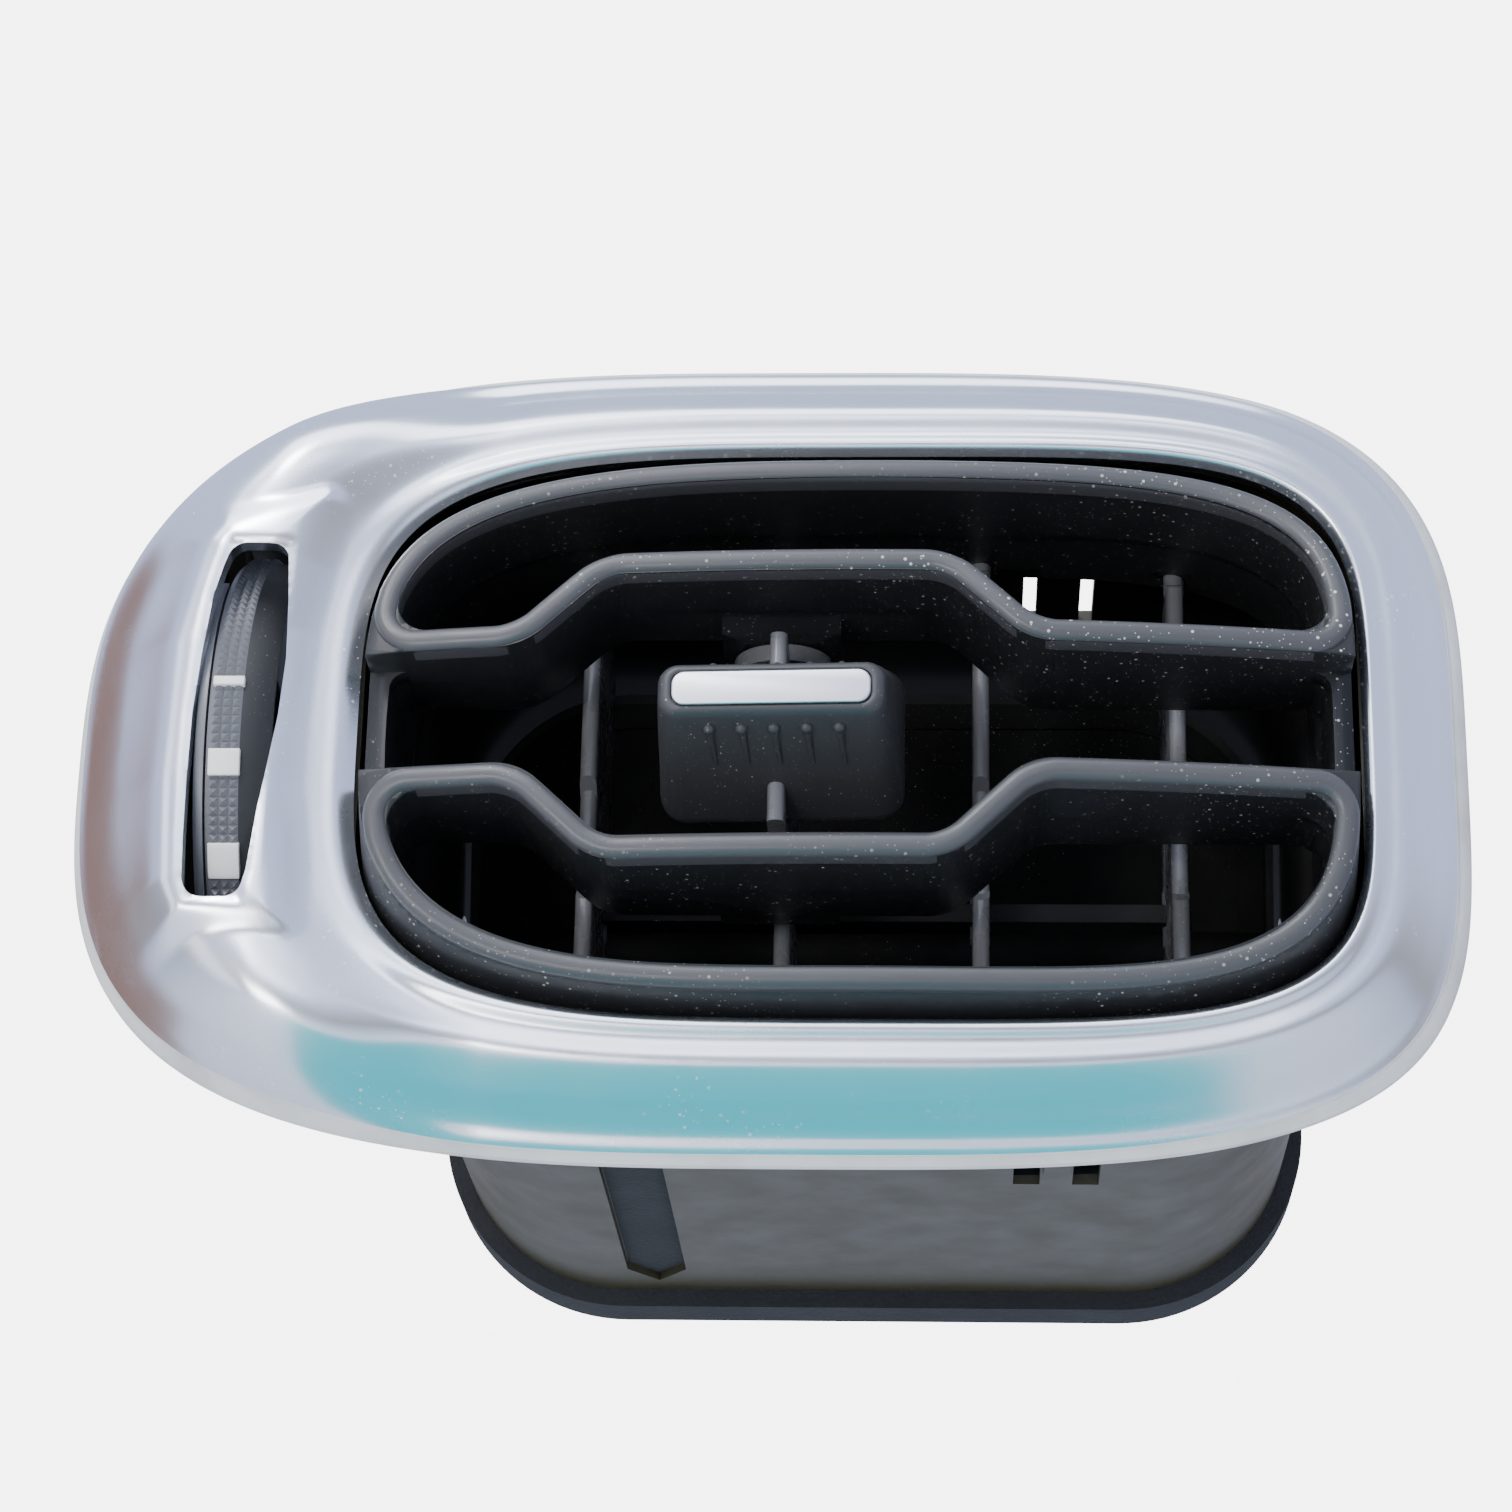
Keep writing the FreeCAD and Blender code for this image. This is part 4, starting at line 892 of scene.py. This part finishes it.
# %% Marks on the grip
mark_spans = ((6.9, 9.1), (-13.8, -7.9), (-36.2, -28.4))
mark_low_x, mark_high_x = -77.55, -73.75
mark_radius, mark_height, mark_edge = 32.12, 1.2, 0.14
bm = bmesh.new()
for start, end in mark_spans:
    own = bmesh.ops.create_grid(bm, x_segments=1, y_segments=6, size=0.5)["verts"]
    for vert in own:
        across_share, along_share = vert.co.x + 0.5, vert.co.y + 0.5
        turn = math.radians(180 - (start + (end - start) * along_share))
        vert.co = on_wheel(mark_low_x + (mark_high_x - mark_low_x) * across_share,
                           mark_radius, turn)
    patch = list({face for vert in own for face in vert.link_faces})
    sunk = bmesh.ops.extrude_face_region(bm, geom=patch)
    for vert in [g for g in sunk["geom"] if isinstance(g, bmesh.types.BMVert)]:
        from_axle = Vector((0, vert.co.y - wheel_y * MM, vert.co.z))
        vert.co -= from_axle * (mark_height / mark_radius)
bmesh.ops.recalc_face_normals(bm, faces=bm.faces)
rims = [edge for edge in bm.edges if edge.calc_face_angle(0) > math.radians(50)]
bmesh.ops.bevel(bm, geom=rims, affect="EDGES", offset=mark_edge * MM, segments=2, profile=0.5,
                material=-1)
settle(bm, "grip_marks", mark_cream, "thumbwheel", "wheel_marks", 50)

# %% [markdown]
# The slot is wider than the wheel, so it also shows what lies beside it. A narrow guard is spun
# about the wheel's axle and fills the slot's left edge, and three dark strips of painted shade
# behind the slot close the view to the outside, above and below the wheel too.

# %% Guard beside the wheel
guard = [(-78.3, 28.5), (-78.3, 31.0), (-78.9, 31.05), (-79.4, 30.7), (-79.6, 30.2), (-79.6, 28.5)]
guard_half_turn, guard_steps = 44, 48
bm = bmesh.new()
start_turn = math.radians(180 + guard_half_turn)
end_turn = math.radians(180 - guard_half_turn)
bm.faces.new([bm.verts.new(on_wheel(x, radius, start_turn)) for x, radius in guard])
bmesh.ops.spin(bm, geom=list(bm.faces) + list(bm.edges) + list(bm.verts),
               cent=(0, wheel_y * MM, 0), axis=(1, 0, 0), angle=end_turn - start_turn,
               steps=guard_steps, use_duplicate=False)
bmesh.ops.recalc_face_normals(bm, faces=bm.faces)
settle(bm, "wheel_guard", grip_grey, "housing", angle=50)

# %% Close the view past the wheel
# The three strips are painted shade: dark sheets where the slot shows only unlit depth past the
# wheel.
filler_edge = 0.3
for name, low, high in (("shade_sheet_side", (-81.6, -2.4, -32.5), (-80.25, -0.1, 32.5)),
                        ("shade_sheet_high", (-81.4, 0.05, 33.2), (-70.4, 13.0, 34.4)),
                        ("shade_sheet_low", (-81.4, 0.05, -34.4), (-70.4, 5.0, -33.2))):
    filler = soft_block(name, low, high, filler_edge, 2)
    filler.data.materials.append(foam_and_painted_shade)
    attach(filler, "housing")
print("window behind the slot closed")

# %% [markdown]
# ## Small things on the duct
# The groove under the duct is deep and unlit in the real part, so a thin dark bed of painted shade
# lies in it, cut to the groove's pointed outline. Each slot beside a snap tongue is partly closed
# by a web, which leaves only narrow windows.

# %% Bed of the groove and webs of the slots
bed_z, bed_thickness = -39.46, 0.1
bed_outline = ((-33.6, 2.0), (-33.6, 80.9), (-29.7, 86.7), (-25.8, 80.9), (-25.8, 2.0))
web_starts_x, web_width = (19.2, 26.8), 1.7
bm = bmesh.new()
bm.faces.new([bm.verts.new(Vector((x, y, bed_z)) * MM) for x, y in bed_outline])
made = bmesh.ops.extrude_face_region(bm, geom=list(bm.faces))
raised = [g for g in made["geom"] if isinstance(g, bmesh.types.BMVert)]
bmesh.ops.translate(bm, verts=raised, vec=(0, 0, bed_thickness * MM))
bmesh.ops.recalc_face_normals(bm, faces=bm.faces)
# The dark bed is painted shade in the deep groove.
settle(bm, "groove_shade_bed", foam_and_painted_shade, "housing")
for number, x in enumerate(web_starts_x):
    web = soft_block("slot_web_%d" % number, (x, 17.8, 38.5), (x + web_width, 37.2, 40.2),
                     filler_edge, 2)
    web.data.materials.append(lip_rubber)
    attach(web, "housing")
print("groove bed and two webs placed")

# %% [markdown]
# ## The knob
# The knob is a wedge that widens to the back, with a rounded nose round the silver strip and five
# drop-shaped ribs below it for the thumb. Its section loops are rounded rectangles, made from one
# circle like the bezel's. The ribs are cones with a ball at the thick end.

# %% Loops of the knob
knob_x, knob_yaw, knob_pivot_y = -8.7, 2.5, -5.1
knob_segments, side_share = 128, 0.18


def rounded_corner_point(angle, half_width, half_height, radius):
    """A point of a rounded rectangle, with the turn spread over its corners and sides."""
    quarter = angle % (math.pi / 2) / (math.pi / 2)
    quadrant = int(angle // (math.pi / 2)) % 4
    sx, sz = ((1, 1), (-1, 1), (-1, -1), (1, -1))[quadrant]
    if quadrant % 2:
        quarter = 1 - quarter
    turn = math.pi / 2 * min(1.0, max(0.0, (quarter - side_share) / (1 - 2 * side_share)))
    x = half_width - radius + radius * math.cos(turn)
    z = half_height - radius + radius * math.sin(turn)
    if quarter < side_share:
        z *= quarter / side_share
    elif quarter > 1 - side_share:
        x *= (1 - quarter) / side_share
    return sx * x, sz * z


def corner_angle(index):
    return 2 * math.pi * (index + 0.5) / knob_segments


knob_loops = [(11.9, 2.25, 1.5, -31.15), (11.9, 2.25, 1.5, -31.6), (12.15, 2.4, 1.6, -31.72),
              (12.7, 2.75, 1.9, -31.62), (13.15, 3.1, 2.2, -31.3), (13.42, 3.38, 2.4, -30.75),
              (13.55, 3.6, 2.5, -30.2), (13.7, 4.2, 2.6, -28.6), (13.95, 5.4, 2.8, -25.5),
              (14.4, 7.8, 3.2, -19.0), (14.8, 9.6, 3.4, -14.3), (14.75, 9.9, 3.3, -13.6),
              (14.4, 9.8, 3.1, -13.1), (13.6, 9.0, 2.8, -13.0)]
bm = bmesh.new()
ring, edges = first_ring(bm, knob_segments, cap_ends=True)
for step, (half_width, half_tall, radius, y) in enumerate(knob_loops):
    if step:
        ring, edges, _ = next_ring(bm, ring, edges)
    for index, vert in enumerate(ring):
        x, z = rounded_corner_point(corner_angle(index), half_width, half_tall, radius)
        vert.co = Vector((knob_x + x, y, z)) * MM
bmesh.ops.contextual_create(bm, geom=edges)
bmesh.ops.recalc_face_normals(bm, faces=bm.faces)
pivot = Matrix.Translation(Vector((knob_x, knob_pivot_y, 0)) * MM)
yawed = pivot @ Matrix.Rotation(math.radians(-knob_yaw), 4, "Z") @ pivot.inverted()
bmesh.ops.transform(bm, matrix=yawed, verts=bm.verts)
settle(bm, "knob_shell", knob_black, "knob", "knob_body", 50)

# %% Ribs of the knob
rib_count, rib_pitch, rib_shift = 5, 3.85, 0.2
rib_thick, rib_thin = 0.55, 0.2
rib_rows = (((-26.0, 5.05), (-20.5, 7.2), 0.4, 0.5), ((-29.0, -4.05), (-23.2, -6.26), 0.45, 0.78))
bm = bmesh.new()
for (start_y, start_z), (end_y, end_z), slant, ball in rib_rows:
    for index in range(rib_count):
        x = knob_x + rib_shift + (index - rib_count // 2) * rib_pitch
        start = Vector((x, start_y, start_z)) * MM
        end = Vector((x + slant, end_y, end_z)) * MM
        run = end - start
        facing = run.to_track_quat("Z", "Y").to_matrix().to_4x4()
        bmesh.ops.create_cone(bm, cap_ends=True, segments=14, radius1=rib_thick * MM,
                              radius2=rib_thin * MM, depth=run.length,
                              matrix=Matrix.Translation((start + end) / 2) @ facing)
        bmesh.ops.create_uvsphere(bm, u_segments=14, v_segments=8, radius=ball * MM,
                                  matrix=Matrix.Translation(start))
bmesh.ops.transform(bm, matrix=yawed, verts=bm.verts)
settle(bm, "knob_ribs", knob_black, "knob")

# %% Strip of the knob
plate_half_width, plate_half_height, plate_radius = 11.75, 2.1, 1.55
plate_front_y, plate_thickness, plate_edge = -31.95, 0.9, 0.22
bm = bmesh.new()
ring, _ = first_ring(bm, knob_segments, cap_ends=True)
for index, vert in enumerate(ring):
    x, z = rounded_corner_point(corner_angle(index), plate_half_width, plate_half_height,
                                plate_radius)
    vert.co = Vector((knob_x + x, plate_front_y, z)) * MM
made = bmesh.ops.extrude_face_region(bm, geom=list(bm.faces))
moved = [g for g in made["geom"] if isinstance(g, bmesh.types.BMVert)]
bmesh.ops.translate(bm, verts=moved, vec=(0, plate_thickness * MM, 0))
bmesh.ops.recalc_face_normals(bm, faces=bm.faces)
rims = [edge for edge in bm.edges if edge.calc_face_angle(0) > math.radians(60)]
bmesh.ops.bevel(bm, geom=rims, affect="EDGES", offset=plate_edge * MM, segments=3, profile=0.5,
                material=-1)
bmesh.ops.transform(bm, matrix=yawed, verts=bm.verts)
settle(bm, "knob_plate", strip_silver, "knob", "knob_strip")

# %% [markdown]
# ## Softer edges on the upright vanes
# The vanes' front edges are rounded in the real part. Their solids are copied, the triangles are
# joined into flat faces again, and a Bevel modifier rounds what is sharper than 40 degrees.

# %% Round the vanes' edges
vane_edge = 0.55
vane_bodies = {1: "vane_1", 2: "knob", 3: "vane_3", 4: "vane_4"}
for number, body in vane_bodies.items():
    node = "upright_vane_%d" % number
    vane = merged_copy(node + "_soft", node)
    bm = bmesh.new()
    bm.from_mesh(vane.data)
    bmesh.ops.dissolve_limit(bm, angle_limit=math.radians(1.0), verts=bm.verts, edges=bm.edges)
    for face in bm.faces:
        face.smooth = True
    bm.to_mesh(vane.data)
    bm.free()
    rounding = vane.modifiers.new("rounding", "BEVEL")
    rounding.width = vane_edge * MM
    rounding.segments = 3
    rounding.limit_method = "ANGLE"
    rounding.angle_limit = math.radians(40)
    rounding.use_clamp_overlap = True
    vane.data.materials.append(vane_black)
    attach(vane, body)
    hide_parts(node)
print("four vanes rounded")

# %% The end
print("scene built")
